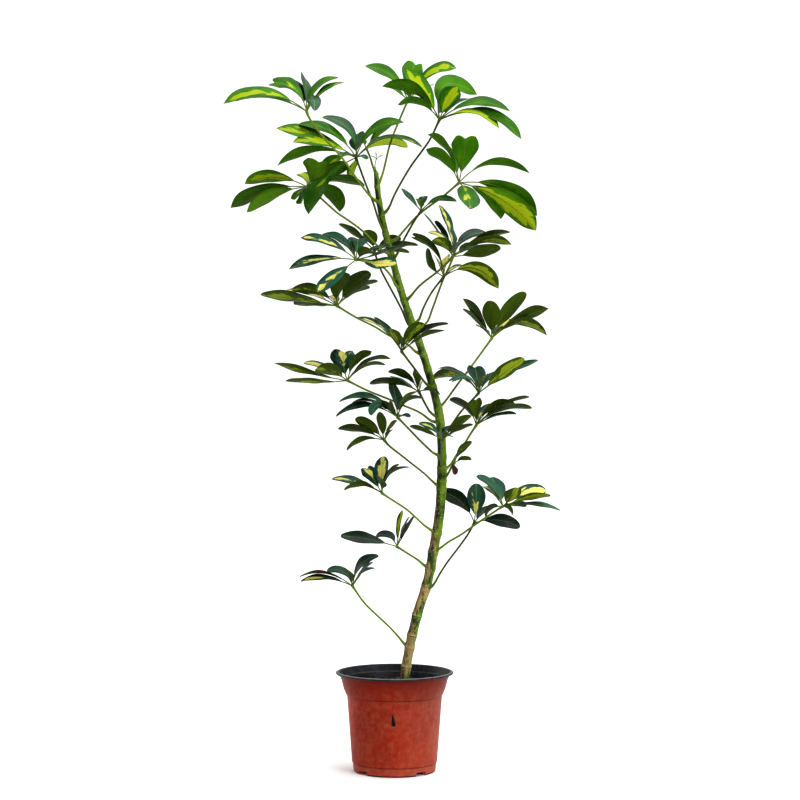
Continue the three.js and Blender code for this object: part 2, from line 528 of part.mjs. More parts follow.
// Soil: the inside of the pot, with its top raised and lowered by two crossing waves
function soilSolid(trunkClearance) {
  const geometry = turned(SOIL_PROFILE, SOIL_SIDES);
  const position = geometry.attributes.position;
  for (let i = 0; i < position.count; i += 1) {
    const [x, y, z] = [position.getX(i), position.getY(i), position.getZ(i)];
    if (z >= SOIL_LEVEL) position.setZ(i, z + SOIL_LUMP * Math.sin(x / 7) * Math.cos(y / 9));
  }
  return solidOf(geometry).subtract(trunkClearance);
}

const trunkCurve = new THREE.CatmullRomCurve3(TRUNK_LINE.map((place) => fromFrontView(...place)));

// Share of the trunk's length at which its centreline reaches a height, found by halving
function trunkShareAt(height) {
  let [low, high] = [0, 1];
  for (let i = 0; i < 30; i += 1) {
    const middle = (low + high) / 2;
    if (trunkCurve.getPointAt(middle).z < height) low = middle;
    else high = middle;
  }
  return low;
}

function trunkAt(height) {
  return trunkCurve.getPointAt(trunkShareAt(height));
}

// Heights of the trunk's rings: evenly spaced, with three more at each scar
function trunkHeights() {
  const [bottom, top] = [TRUNK_LINE[0][1], TRUNK_LINE[TRUNK_LINE.length - 1][1]];
  const nearScar = (height) => TRUNK_SCARS.some((scar) => Math.abs(scar - height) < 3 * SCAR_HALF_HEIGHT);
  const even = [];
  for (let height = bottom; height < top; height += TRUNK_RING_SPACING) {
    if (!nearScar(height)) even.push(height);
  }
  const scars = TRUNK_SCARS.flatMap((scar) => [scar - SCAR_HALF_HEIGHT, scar, scar + SCAR_HALF_HEIGHT]);
  return [...even, ...scars, top].sort((a, b) => a - b);
}

// The trunk, grown all round by extra for the hole it leaves in its neighbours
function trunkSolid(extra = 0) {
  const heights = trunkHeights();
  const across = new THREE.Vector3(1, 0, 0);
  return sweep(roundSection(TRUNK_SIDES), heights.length, (x, y, ring) => {
    const height = heights[ring];
    const share = trunkShareAt(height);
    const along = trunkCurve.getTangentAt(share);
    const side = across.clone().addScaledVector(along, -across.dot(along)).normalize();
    const back = along.clone().cross(side);
    const scar = TRUNK_SCARS.includes(height) ? SCAR_SWELLING : 1;
    const radius = interpolate(TRUNK_RADIUS, height) * scar + extra;
    const end = ring === 0 ? -extra : 0;
    return trunkCurve.getPointAt(share).addScaledVector(side, x * radius).addScaledVector(back, y * radius)
      .addScaledVector(along, end);
  });
}

// A stalk's route from the trunk's middle to the hub, whose depth grows along it where none is given
function stalkCurve(leaf) {
  const start = trunkAt(leaf.node);
  const [hubX, hubHeight, hubDepth] = leaf.hub;
  const seen = [[start.x, start.z, start.y], ...leaf.stalk, [hubX, hubHeight, hubDepth]];
  const lengths = [0];
  for (let i = 1; i < seen.length; i += 1) {
    lengths.push(lengths[i - 1] + Math.hypot(seen[i][0] - seen[i - 1][0], seen[i][1] - seen[i - 1][1]));
  }
  const total = lengths[lengths.length - 1];
  const grownDepth = (i) => (hubDepth * lengths[i]) / total;
  const points = seen.map(([x, height, depth], i) => fromFrontView(x, height, depth ?? grownDepth(i)));
  points[0].copy(start);
  return new THREE.CatmullRomCurve3(points, false, "centripetal");
}

function stalkSolid(leaf) {
  const curve = stalkCurve(leaf);
  const length = curve.getLength();
  const { fewest, most, spacing } = STALK_RINGS;
  const rings = THREE.MathUtils.clamp(Math.round(length / spacing) + 2, fewest, most);
  const frames = curve.computeFrenetFrames(rings - 1, false);
  return sweep(roundSection(STALK_SIDES), rings, (x, y, ring) => {
    const share = ring / (rings - 1);
    const swelling = Math.exp(-(share * length) / STALK_BASE_LENGTH);
    const radius = STALK_RADIUS + (STALK_BASE_RADIUS - STALK_RADIUS) * swelling;
    return curve.getPointAt(share).addScaledVector(frames.normals[ring], x * radius)
      .addScaledVector(frames.binormals[ring], y * radius);
  });
}

// The control point that takes an arch from start to end past the place via, in the front view
function archControl(start, end, via) {
  const chord = end.clone().sub(start);
  const share = THREE.MathUtils.clamp(via.clone().sub(start).dot(chord) / chord.lengthSq(), ...VIA_RANGE);
  return via.clone().addScaledVector(start, -((1 - share) ** 2)).addScaledVector(end, -(share ** 2))
    .divideScalar(2 * share * (1 - share));
}

// One leaflet: an arched, keeled blade on its own short stalk, from the hub to its tip
function leafletSolid(leaf, [tipX, tipHeight, lean, show, extras = {}]) {
  const { via, rise = LEAFLET_RISE, size = LEAFLET_SIZE, wide = 1, notched = false } = extras;
  const [hubX, hubHeight, hubDepth] = leaf.hub;
  const seenLength = Math.hypot(tipX - hubX, tipHeight - hubHeight);
  const trueLength = Math.max(leaf.reach * size, seenLength);
  const tipDepth = hubDepth + lean * Math.sqrt(trueLength ** 2 - seenLength ** 2);
  const hub = fromFrontView(hubX, hubHeight, hubDepth);
  const tip = fromFrontView(tipX, tipHeight, tipDepth);
  const bend = hub.clone().add(tip).multiplyScalar(0.5);
  bend.addScaledVector(SKYWARD, 2 * rise * hub.distanceTo(tip));
  if (via) {
    const [start, end] = [new THREE.Vector2(hubX, hubHeight), new THREE.Vector2(tipX, tipHeight)];
    const control = archControl(start, end, new THREE.Vector2(...via));
    bend.copy(fromFrontView(control.x, control.y, (hubDepth + tipDepth) / 2));
  }
  const midrib = new THREE.QuadraticBezierCurve3(hub, bend, tip);
  const halfWidth = (leaf.reach * BLADE_WIDTH_TO_REACH * wide * Math.sqrt(size / LEAFLET_SIZE)) / 2;
  const isSmall = size < SMALL_SIZE || Math.abs(show) < NARROW_SHOW;
  const plainOutline = isSmall ? SMALL_OUTLINE : PLAIN_OUTLINE;
  const outline = notched ? NOTCHED_OUTLINE : plainOutline;
  const rightward = tipX < hubX ? -1 : 1;
  const section = [[-1, 0], [0, -1], [1, 0], [0, 1]];
  return sweep(section, outline.length, (x, y, ring) => {
    const [station, share] = outline[ring];
    const isMidrib = x === 0;
    const pulledBack = notched && isMidrib && ring === outline.length - 1 ? NOTCH_DEPTH : 0;
    const along = midrib.getTangent(station);
    const facing = TO_VIEWER.clone().addScaledVector(along, -TO_VIEWER.dot(along)).normalize();
    const rising = new THREE.Vector3(-along.z * rightward, 0, along.x * rightward).normalize();
    const upper = facing.multiplyScalar(show).addScaledVector(rising, Math.sqrt(1 - show * show));
    const across = upper.clone().cross(along);
    const reachOut = Math.max(share * halfWidth, PETIOLULE_HALF_WIDTH);
    const thickness = station < 0.3 ? PETIOLULE_HALF_WIDTH : BLADE_HALF_THICKNESS;
    const lift = share > 0.1 && !isMidrib ? BLADE_KEEL * reachOut : 0;
    return midrib.getPoint(station - pulledBack).addScaledVector(across, x * reachOut)
      .addScaledVector(upper, y * thickness + lift);
  });
}

// A compound leaf as one body: stalk, hub and leaflets grown together, clear of the trunk
function leafSolid(leaf, trunkClearance) {
  const hub = fromFrontView(leaf.hub[0], leaf.hub[1], leaf.hub[2]);
  const hubRadius = Math.min(HUB_RADIUS, leaf.reach / 8);
  const knob = new THREE.OctahedronGeometry(hubRadius);
  knob.translate(hub.x, hub.y, hub.z);
  const leaflets = leaf.leaflets.map((leaflet) => leafletSolid(leaf, leaflet));
  const grown = [stalkSolid(leaf), solidOf(knob), ...leaflets].reduce((whole, piece) => whole.add(piece));
  const loose = grown.subtract(trunkClearance).decompose();
  return loose.reduce((largest, piece) => (piece.volume() > largest.volume() ? piece : largest));
}

const plant = new THREE.Group();
const trunkClearance = trunkSolid(GAP);

plant.add(meshOf("pot", potSolid(), COLOURS.pot));
plant.add(meshOf("soil", soilSolid(trunkClearance), COLOURS.soil));
plant.add(meshOf("trunk", trunkSolid(), COLOURS.trunk));
const tuft = leafSolid(TIP_TUFT, trunkClearance);
plant.add(meshOf("tip_tuft", tuft, COLOURS.upperLeaf, trunkAt(TIP_TUFT.node)));

const foliage = new THREE.Group();
for (const leaf of LEAVES) {
  const finish = leaf.hub[1] > UPPER_LEAF_HEIGHT ? COLOURS.upperLeaf : COLOURS.lowerLeaf;
  foliage.add(meshOf(leaf.name, leafSolid(leaf, trunkClearance), finish, trunkAt(leaf.node)));
}
plant.add(foliage);

export default plant;
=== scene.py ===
"""A potted umbrella plant: variegated fronds on a green stem, in a red-brown nursery pot.

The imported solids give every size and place. Each one is replaced by a finer piece of the same
form: bevelled pot wall, crumbed soil, scarred stem and arched blades with veins and splashes.
"""
import logging
import math
import random
from abc import ABC, abstractmethod
from bisect import bisect_right
from dataclasses import dataclass, field
from enum import Enum
from typing import Any, Callable, Iterable

import bmesh
import bpy
from bmesh.types import BMesh, BMFace, BMVert
from bpy.types import Material, Node, NodeOutputs, NodeSocket, NodeTree, Object
from mathutils import Matrix, Vector, noise


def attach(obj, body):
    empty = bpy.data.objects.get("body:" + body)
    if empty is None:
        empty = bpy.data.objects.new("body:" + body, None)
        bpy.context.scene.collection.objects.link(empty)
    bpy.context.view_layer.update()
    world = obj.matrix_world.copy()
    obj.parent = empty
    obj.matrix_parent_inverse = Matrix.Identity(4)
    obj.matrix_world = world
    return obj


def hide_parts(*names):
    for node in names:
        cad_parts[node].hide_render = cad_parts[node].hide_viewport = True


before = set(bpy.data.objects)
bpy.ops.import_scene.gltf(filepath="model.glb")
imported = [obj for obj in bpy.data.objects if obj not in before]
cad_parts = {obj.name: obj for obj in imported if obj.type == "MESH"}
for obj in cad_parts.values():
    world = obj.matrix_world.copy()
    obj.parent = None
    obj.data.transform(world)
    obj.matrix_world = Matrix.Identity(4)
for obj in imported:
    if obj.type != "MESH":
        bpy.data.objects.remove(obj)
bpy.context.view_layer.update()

MM = 0.001
TURN = 2 * math.pi
SEED = 20
# In metres, how close two vertices of a spun mesh lie that are one
WELD = 1e-6

# The camera's place, in millimetres: level with the middle of the plant, far off
VIEW_DISTANCE = 2500
VIEW_X = 6.9
VIEW_HEIGHT = 471.3

log = logging.getLogger("umbrella_plant")


class Tip(Enum):
    """How a leaflet ends."""

    PLAIN = "plain"
    POINTED = "pointed"
    NOTCHED = "notched"


class StalkTone(Enum):
    """How light a leaf stalk is, from old and shaded to young and lit."""

    DARK = 0.2
    OLIVE = 0.5
    LIGHT = 0.85


class Slot(Enum):
    """Kinds of material slot, one for each kind of piece."""

    POT = "pot_plastic"
    SOIL = "soil"
    BARK = "bark"
    UPPER_LEAF = "upper_leaf"
    LOWER_LEAF = "lower_leaf"


@dataclass(frozen=True)
class Leaflet:
    """One leaflet, read from the front view in millimetres.

    tip is where it ends, and lean how far its tip stands back (1) or comes forward (-1). show is how
    square its upper face is to the viewer, below 0 where its underside is seen, and splash how much
    of it is cream. via is a place that its midrib passes. size is its length, as a share of the
    leaf's reach, wide its width against the usual one, and end how it ends. dry is how far it
    has withered, which up to 0.8 is one spot past its middle, and older how much darker and bluer it
    is than its height on the plant says: partly age, and partly painted shade and painted sky sheen.
    """

    tip: tuple[float, float]
    lean: float
    show: float
    splash: float
    via: tuple[float, float] | None = None
    size: float = 0.85
    wide: float = 1
    end: Tip = Tip.PLAIN
    dry: float = 0
    age_shade_and_sheen: float = 0


@dataclass(frozen=True)
class LeafPlan:
    """One compound leaf, in millimetres.

    node is the height at which its stalk leaves the stem, stalk the route from there to the hub, as
    places in the front view with a depth where it matters, and reach the length of a leaflet.
    """

    name: str
    node: float
    hub: tuple[float, float, float]
    reach: float
    stalk: tuple[tuple[float, ...], ...]
    leaflets: tuple[Leaflet, ...]
    tone: StalkTone = StalkTone.OLIVE


def plan_leaf(name: str, *leaflets: Leaflet, **sizes: Any) -> LeafPlan:
    """Returns the plan of a leaf, from its name, its leaflets and the other fields of a plan."""
    return LeafPlan(name=name, leaflets=leaflets, **sizes)


LEAVES = (
    plan_leaf(
        "leaf_01_top_back",
        Leaflet((2, 828), 0.9, -0.5, 0.3, size=1.3),
        Leaflet((-16, 816), 0.9, -0.5, 0.2),
        Leaflet((-45, 806), 0.7, 0.6, 0.2),
        node=760, hub=(-36, 792, 62), reach=46, stalk=((-28, 770), (-31, 780)),
    ),
    plan_leaf(
        "leaf_02_top_right",
        Leaflet((-38, 897), 0.3, 0.68, 0, (-10, 888), size=0.98, end=Tip.POINTED),
        Leaflet((26, 902), 0.7, 1, 0.1, (20, 880), wide=1.25, end=Tip.NOTCHED),
        Leaflet((79, 894), 0.2, 0.7, 0.66, (55, 893), size=1, end=Tip.POINTED),
        Leaflet((47, 873), 0.85, 0.5, 0.1),
        Leaflet((28, 869), -0.6, -0.5, 0.1),
        Leaflet((-6, 869), -0.5, 0.5, 0.1),
        node=743, hub=(17, 853, 78), reach=78, stalk=((-16, 757), (-5, 800), (7, 830)),
        tone=StalkTone.LIGHT,
    ),
    plan_leaf(
        "leaf_03_top_left",
        Leaflet((-219, 850), 0, 0.55, 0.68, (-172, 863), wide=1.05, end=Tip.POINTED),
        Leaflet((-203, 852), 0.5, 0.3, 0.2, size=0.98, via=(-165, 857)),
        Leaflet((-158, 876), 0.4, 0.62, 0.3, (-132, 870), end=Tip.NOTCHED),
        Leaflet((-147, 883), 0.9, 0.5, 0, (-130, 872), age_shade_and_sheen=0.5),
        Leaflet((-114, 881), 0.95, 0.4, 0, age_shade_and_sheen=0.7),
        Leaflet((-72, 883), 0.6, 0.45, 0.2, (-95, 872), end=Tip.POINTED),
        Leaflet((-64, 877), 0.2, 0.35, 0.5, (-85, 868), size=0.75, age_shade_and_sheen=0.3, end=Tip.POINTED),
        Leaflet((-102, 841), -0.95, 0.9, 0, (-103, 853), wide=0.6, age_shade_and_sheen=0.8, size=0.755),
        node=723, hub=(-112, 839, -60), reach=106,
        stalk=((-28, 728, -9), (-40, 742, -16), (-68, 781), (-94, 810), (-109, 831)),
        tone=StalkTone.LIGHT,
    ),
    plan_leaf(
        "leaf_04_top_right",
        Leaflet((-16, 872), -0.3, -0.36, 0, (25, 866), end=Tip.POINTED),
        Leaflet((4, 848), -0.6, -0.22, 0, (25, 851), size=0.7, end=Tip.POINTED),
        Leaflet((15, 892), 0.3, 0.8, 0.68, (34, 868), end=Tip.POINTED),
        Leaflet((106, 861), 0.85, 0.8, 0.1, (72, 874), end=Tip.POINTED),
        Leaflet((80, 870), 0.05, 0.85, 0.7, (68, 852), end=Tip.POINTED),
        Leaflet((54, 858), 0.95, 0.35, 0, size=0.65, age_shade_and_sheen=0.7),
        Leaflet((94, 855), 0.9, 0.4, 0.1, size=0.7, age_shade_and_sheen=0.6),
        Leaflet((148, 840), 0.3, 0.5, 0.2, (110, 850), size=0.92, end=Tip.POINTED),
        Leaflet((133, 817), -0.4, 0.4, 0.85, (98, 838), end=Tip.POINTED),
        Leaflet((162, 804), 0, 0.55, 0.2, (118, 836), wide=1.05, end=Tip.POINTED),
        node=706, hub=(57, 828, -10), reach=106,
        stalk=((-8, 715), (0, 733), (20, 768), (36, 790), (45, 803)), tone=StalkTone.DARK,
    ),
    plan_leaf(
        "leaf_05_upper_left",
        Leaflet((-122, 823), 0.3, 0.5, 0.2, size=0.9, via=(-90, 817)),
        Leaflet((-151, 818), 0, 0.6, 0.62, (-105, 808), wide=1.1, end=Tip.POINTED),
        Leaflet((-130, 800), -0.6, 0.55, 0.7, (-95, 800), size=0.9, wide=1.1, end=Tip.POINTED),
        Leaflet((-149, 769), -0.2, -0.24, 0, (-105, 789), size=1, end=Tip.POINTED),
        Leaflet((-92, 832), 0.6, 0.62, 0, age_shade_and_sheen=0.75, via=(-64, 821), wide=0.8),
        Leaflet((-46, 811), 0.6, 0.8, 0, size=0.6, age_shade_and_sheen=0.6),
        Leaflet((-67, 781), -0.9, 0.5, 0.1, size=0.5, age_shade_and_sheen=0.5),
        Leaflet((-37, 778), -0.9, 0.6, 0.1, size=0.45, age_shade_and_sheen=0.7, wide=0.7),
        Leaflet((-110, 708), -0.5, 0.66, 0.3, (-92, 748), size=1, age_shade_and_sheen=0.1, wide=1.12,
                end=Tip.POINTED),
        Leaflet((12, 824), -0.4, 0.55, 0.3, (-22, 818), end=Tip.POINTED),
        Leaflet((35, 793), -0.3, 0.3, 0.4, (0, 806), size=0.88, age_shade_and_sheen=0.2),
        Leaflet((17, 795), 0.8, 0.6, 0.95, (-10, 800)),
        Leaflet((-55, 755), 0.8, -0.5, 0.8, size=0.45),
        node=683, hub=(-49, 780, 32), reach=100,
        stalk=((-20, 700, -7), (-27, 722, -3), (-33, 737, 4), (-40, 755, 14)), tone=StalkTone.DARK,
    ),
    plan_leaf(
        "leaf_06_upper_right",
        Leaflet((42, 809), 0.2, -0.2, 0, (62, 796), end=Tip.POINTED),
        Leaflet((40, 791), -0.5, -0.42, 0, (60, 780), size=0.7, end=Tip.POINTED),
        Leaflet((69, 795), 0.8, 0.35, 0.2, size=0.65),
        Leaflet((91, 808), -0.7, -1, 0.05, (89, 788), size=0.8, wide=1.15, end=Tip.NOTCHED),
        Leaflet((172, 760), 0.4, -0.35, 0.1, (135, 774), wide=0.7, end=Tip.POINTED),
        Leaflet((182, 706), -0.1, -0.6, 0.3, (145, 738), size=1.03, wide=0.9, end=Tip.POINTED),
        Leaflet((180, 687), -0.4, -0.75, 0.78, (140, 725), size=1.1, end=Tip.POINTED),
        Leaflet((136, 702), 0.6, -0.5, 0, (120, 730), end=Tip.POINTED),
        Leaflet((96, 714), -0.75, 0.9, 0.45, (89, 741), size=0.8, end=Tip.POINTED, age_shade_and_sheen=0.2),
        node=672, hub=(82, 748, -46), reach=106,
        stalk=((3, 677), (10, 685), (28, 705), (40, 715), (62, 731)), tone=StalkTone.LIGHT,
    ),
    plan_leaf(
        "leaf_07_mid_left",
        Leaflet((-191, 747), 0.6, -0.5, 0.62, (-160, 755), size=0.9, age_shade_and_sheen=0.1, end=Tip.POINTED),
        Leaflet((-209, 716), 0, -0.5, 0.1, (-165, 738), size=1.03, age_shade_and_sheen=0.5, end=Tip.POINTED),
        Leaflet((-189, 711), -0.5, -0.45, 0.1, (-155, 732), size=0.95, age_shade_and_sheen=0.38,
                end=Tip.POINTED),
        Leaflet((-127, 726), -0.95, 0.6, 0.4, size=0.5, end=Tip.POINTED),
        Leaflet((-119, 722), -0.9, 0.5, 0.3, size=0.62, end=Tip.POINTED),
        Leaflet((-119, 760), 0.95, 0.8, 0.8, (-112, 752), size=0.6),
        Leaflet((-98, 777), -0.5, -1, 0.1, (-102, 762), size=0.65, end=Tip.NOTCHED,
                wide=1.5, age_shade_and_sheen=0.5),
        Leaflet((-68, 779), 0.95, -0.5, 0.5, (-88, 768), size=0.75),
        Leaflet((-58, 769), 0.3, -0.65, 0.2, size=0.7, age_shade_and_sheen=0.3),
        Leaflet((-38, 744), 0.2, -0.3, 0.2, (-75, 752), age_shade_and_sheen=0.5),
        Leaflet((-70, 711), 0.7, -0.8, 0.1, (-80, 735), size=0.75, age_shade_and_sheen=0.4, end=Tip.POINTED),
        node=657, hub=(-112, 743, 38), reach=96,
        stalk=((-14, 661, -10), (-25, 671, -8), (-40, 686, 0), (-60, 701), (-72, 709), (-97, 731)),
        tone=StalkTone.LIGHT,
    ),
    plan_leaf(
        "leaf_08_mid_right",
        Leaflet((9, 741), 0.5, 0.5, 0, (20, 728), size=0.9, age_shade_and_sheen=0.6),
        Leaflet((31, 727), -0.9, -0.7, 0.6, size=0.6),
        Leaflet((37, 731), 0.9, 0.9, 0, size=0.75, age_shade_and_sheen=0.6),
        Leaflet((79, 724), 0, 0.6, 0.35, (55, 727)),
        node=650, hub=(34, 712, -52), reach=50, stalk=((3, 657), (10, 672), (28, 704)),
        tone=StalkTone.DARK,
    ),
    plan_leaf(
        "leaf_09_mid_left",
        Leaflet((-120, 679), 0.4, 0.5, 0.42, (-85, 672), size=0.95, end=Tip.POINTED),
        Leaflet((-135, 638), -0.3, 0.5, 0.5, (-95, 650), size=1, end=Tip.POINTED),
        Leaflet((-92, 684), 0.75, 0.5, 0.1, (-68, 674), end=Tip.POINTED),
        Leaflet((-46, 677), 0.75, 1, 0.1, size=0.75, wide=1.1, end=Tip.NOTCHED),
        Leaflet((2, 644), -0.7, 0.65, 0.78, (-22, 645)),
        Leaflet((16, 668), -0.3, 0.25, 0.3, (-18, 658), size=0.8),
        Leaflet((-6, 667), -0.5, 0.25, 0.1, (-25, 664), size=0.65),
        Leaflet((-28, 661), -0.8, -0.5, 0.3, size=0.6),
        Leaflet((-57, 668), 0.75, -0.4, 0.1, size=0.5),
        Leaflet((-98, 608), -0.6, 0.75, 0.55, (-72, 632)),
        node=612, hub=(-49, 650, -36), reach=88,
        stalk=((2, 617), (-5, 630), (-14, 640), (-25, 647), (-38, 650)), tone=StalkTone.LIGHT,
    ),
    plan_leaf(
        "leaf_10_mid_right",
        Leaflet((43, 686), 0.5, 0.4, 0.9, (60, 678), size=0.7),
        Leaflet((50, 677), -0.7, -0.6, 0.6, (63, 669), size=0.7),
        Leaflet((148, 685), 0.5, -0.3, 0.45, (112, 677), size=0.98, end=Tip.POINTED),
        Leaflet((149.5, 670), -0.35, -0.35, 0.6, (115, 674), size=0.95, end=Tip.POINTED),
        Leaflet((135, 666), -0.6, -0.62, 0.3, (102, 658)),
        Leaflet((85, 674), 0.8, 0.4, 0.1, size=0.6),
        Leaflet((117, 667), 0.6, 0.3, 0.1, size=0.7),
        node=598, hub=(74, 654, -36), reach=82, stalk=((17, 600), (32, 617), (55, 635), (66, 645)),
    ),
    plan_leaf(
        "leaf_11_mid_back_right",
        Leaflet((57, 720), 0.5, 0.45, 0.6, (69, 692)),
        Leaflet((51, 699), 0.2, -0.3, 0.1, size=0.65),
        Leaflet((117, 684), 0.7, 0.6, 0, (95, 680)),
        Leaflet((69, 694), 0.9, 0.5, 0.1),
        Leaflet((37, 710), -0.2, 0.1, 0.2, (52, 690), size=0.82),
        Leaflet((108, 664), -0.6, -0.4, 0.1),
        node=560, hub=(76, 657, 66), reach=82, stalk=((41, 570), (48, 587), (62, 625), (70, 642)),
    ),
    plan_leaf(
        "leaf_12_mid_right",
        Leaflet((22, 681), -0.2, -0.5, 0, (46, 668), size=0.93, wide=0.8, end=Tip.NOTCHED),
        Leaflet((42.6, 665), -0.35, -0.5, 0, (44, 648), size=0.65),
        Leaflet((66, 655.4), 0.9, 0.6, 1, size=0.6),
        Leaflet((51.5, 654), 0.8, 0.2, 0.7, size=0.55),
        Leaflet((132, 613), 0.3, -0.85, 0.72, (106, 638), size=1, end=Tip.POINTED),
        Leaflet((87, 643.5), 0.8, 0.3, 0.6, size=0.6),
        node=568, hub=(62.6, 628.5, 10), reach=72, stalk=((30, 572), (36, 587), (47, 608)),
        tone=StalkTone.DARK,
    ),
    plan_leaf(
        "leaf_13_mid_back",
        Leaflet((-71, 696), 0, -0.4, 0.05, (-50, 683)),
        Leaflet((-35, 688), -0.6, -0.9, 0.05, (-30, 676)),
        Leaflet((8, 675), 0.5, -0.5, 0.05, (-8, 674)),
        Leaflet((30, 668), -0.1, -0.3, 0.05, (5, 669)),
        Leaflet((19, 659), -0.5, -0.3, 0.05, (0, 662), size=0.75),
        Leaflet((-5, 656), 0.6, -0.4, 0.05, size=0.6),
        node=558, hub=(-26, 662, 74), reach=66,
        stalk=((17, 568, 12), (9.8, 585, 18), (-10.8, 624), (-17, 636), (-22, 649)), tone=StalkTone.DARK,
    ),
    plan_leaf(
        "leaf_14_mid_left",
        Leaflet((-171, 604.5), 0, -0.4, 0.68, (-130, 601), size=1.05),
        Leaflet((-128, 593), 0.8, -0.3, 0.1, (-100, 593), size=0.75),
        Leaflet((-131, 611), -0.5, -0.5, 0.5, (-105, 611), size=0.75),
        Leaflet((-139, 610), 0.6, 0.3, 0.95),
        Leaflet((-60, 633), -0.75, -0.75, 0.05, (-72, 612), size=0.7),
        Leaflet((-31, 634), -0.6, -0.75, 0.05, (-52, 618), size=0.75),
        Leaflet((-21, 622), 0.2, -0.25, 0.1, (-50, 612), size=0.7),
        Leaflet((-31.6, 613), 0.75, -0.25, 0.1, (-52, 608), size=0.65),
        Leaflet((-84, 604), 0.85, 0.5, 0.7, size=0.5),
        Leaflet((-71, 607), 0.9, 0.4, 0.8, size=0.45),
        node=529, hub=(-73, 591, 20), reach=94,
        stalk=((28, 532), (18, 541), (8, 547.5), (-8, 554), (-24, 564), (-50, 577)), tone=StalkTone.LIGHT,
    ),
    plan_leaf(
        "leaf_15_front",
        Leaflet((-48, 577), -0.15, 0.25, 0.6, (-20, 566), size=0.9),
        Leaflet((-26, 577), 0.8, 0.4, 0, (-10, 560), size=0.75),
        Leaflet((-6, 562), -0.7, -0.6, 0.5, size=0.6),
        Leaflet((38, 569), -0.6, -0.75, 0.6, (22, 556), size=0.72),
        Leaflet((69, 568), -0.2, -0.25, 0, (40, 561), size=0.9),
        Leaflet((64, 560), -0.6, -0.2, 0.1, (38, 553), size=0.85),
        Leaflet((8, 554), 0.5, 0.4, 0, size=0.5),
        node=487, hub=(9, 533, -56), reach=80,
        stalk=((40, 492, -9), (36, 497, -14), (28, 508), (20, 518.5)), tone=StalkTone.DARK,
    ),
    plan_leaf(
        "leaf_16_mid_right",
        Leaflet((87.6, 600.7), 0.4, -0.4, 0, (106, 578), end=Tip.POINTED),
        Leaflet((87.6, 587), 0.8, -0.15, 0, (104, 572), size=0.75),
        Leaflet((106.3, 565), 0.9, 0.15, 0.3, size=0.5),
        Leaflet((123, 597.5), -0.6, -0.95, 0, (123, 577)),
        Leaflet((168, 607.5), -0.2, -0.75, 0.05, (148, 588), size=0.88),
        Leaflet((196, 588.4), 0, -0.6, 0.25, (160, 575), end=Tip.POINTED),
        Leaflet((194, 553.6), 0.45, -0.45, 0.72, (165, 570), end=Tip.POINTED),
        Leaflet((145, 574), 0.85, 0.4, 0.9, (137, 565), size=0.65),
        Leaflet((134, 565), 0.9, 0.4, 0, size=0.4),
        node=460, hub=(124, 550, 32), reach=84,
        stalk=((64, 469, 10), (75, 484, 20), (83, 495, 26), (91, 505, 30), (100, 517, 32)),
        tone=StalkTone.LIGHT,
    ),
    plan_leaf(
        "leaf_17_lower_left",
        Leaflet((-154, 517.5), 0, -0.3, 0.55, (-115, 507), end=Tip.POINTED),
        Leaflet((-139.7, 496), 0.5, -0.25, 0.6, (-105, 494), end=Tip.POINTED),
        Leaflet((-115, 518.6), 0.75, 0.35, 0.75, (-95, 514), size=0.75),
        Leaflet((-99.4, 511.7), -0.75, -0.62, 0.6, (-82, 508), size=0.7, wide=1.12),
        Leaflet((-65, 535), 0.8, 1, 0.56, (-65, 515), size=0.6, end=Tip.NOTCHED, wide=1.45),
        Leaflet((-28.8, 533), -0.5, -0.45, 0, (-45, 524), size=0.65, end=Tip.POINTED),
        Leaflet((-4.4, 524.4), 0.3, -0.2, 0, (-30, 522), size=0.72, end=Tip.POINTED),
        Leaflet((-11.3, 516.5), -0.3, -0.2, 0, (-35, 515), size=0.62),
        node=442, hub=(-60, 496, 14), reach=96,
        stalk=((46, 445), (38.6, 451), (28, 457.5), (12, 464), (-4, 471), (-36, 484)),
        tone=StalkTone.LIGHT,
    ),
    plan_leaf(
        "leaf_18_lower_left",
        Leaflet((-32, 492.6), -0.5, -0.4, 0.25, (0, 493.5), size=1.05),
        Leaflet((-7, 502.6), 0.8, 0.2, 0.2, (12, 493)),
        Leaflet((-8, 506), 0.3, -0.45, 0, (12, 503)),
        Leaflet((27, 507.5), -0.75, -0.6, 0, (28, 495), size=0.6, wide=0.9, end=Tip.NOTCHED),
        Leaflet((35.5, 496), 0.3, 0.2, 0.9, size=0.35),
        Leaflet((57.8, 478), -0.6, -0.25, 0.1, (46, 484), size=0.65),
        node=448, hub=(31, 482, -24), reach=72, stalk=((46, 455, -9), (42, 461, -14), (36.5, 471)),
        tone=StalkTone.DARK,
    ),
    plan_leaf(
        "leaf_19_lower_right",
        Leaflet((55, 512), -0.4, 0.2, 0, size=0.75, end=Tip.POINTED, wide=0.85, via=(84, 505)),
        Leaflet((49, 497), 0.95, -0.45, 0.6, size=1, via=(78, 503.5)),
        Leaflet((71, 495), -0.8, 0.5, 0.1, (95, 499), size=0.65, wide=0.6, end=Tip.NOTCHED),
        Leaflet((102, 514.5), 0.75, 0.95, 0, (105, 500), end=Tip.NOTCHED),
        Leaflet((114, 502), -0.85, -0.6, 0.4, size=0.6),
        Leaflet((165, 524.4), -0.9, -0.7, 0.78, (137, 504), size=0.9),
        Leaflet((183, 522), 0.9, 0.3, 0.1, (150, 508), size=1.05),
        Leaflet((136, 509), 0.8, 0.35, 0, (122, 500), size=0.7),
        node=428, hub=(107, 480, -26), reach=86,
        stalk=((71.5, 438), (79, 449), (87.5, 460), (100, 472.4)), tone=StalkTone.DARK,
    ),
    plan_leaf(
        "leaf_20_lower_front",
        Leaflet((-71, 469), 0.2, 0.28, 0, (-40, 476), size=1),
        Leaflet((-54, 467), 0.6, -0.12, 0, (-32, 470)),
        Leaflet((-75, 450), 0.05, 0.3, 0.35, (-40, 464), size=1.02),
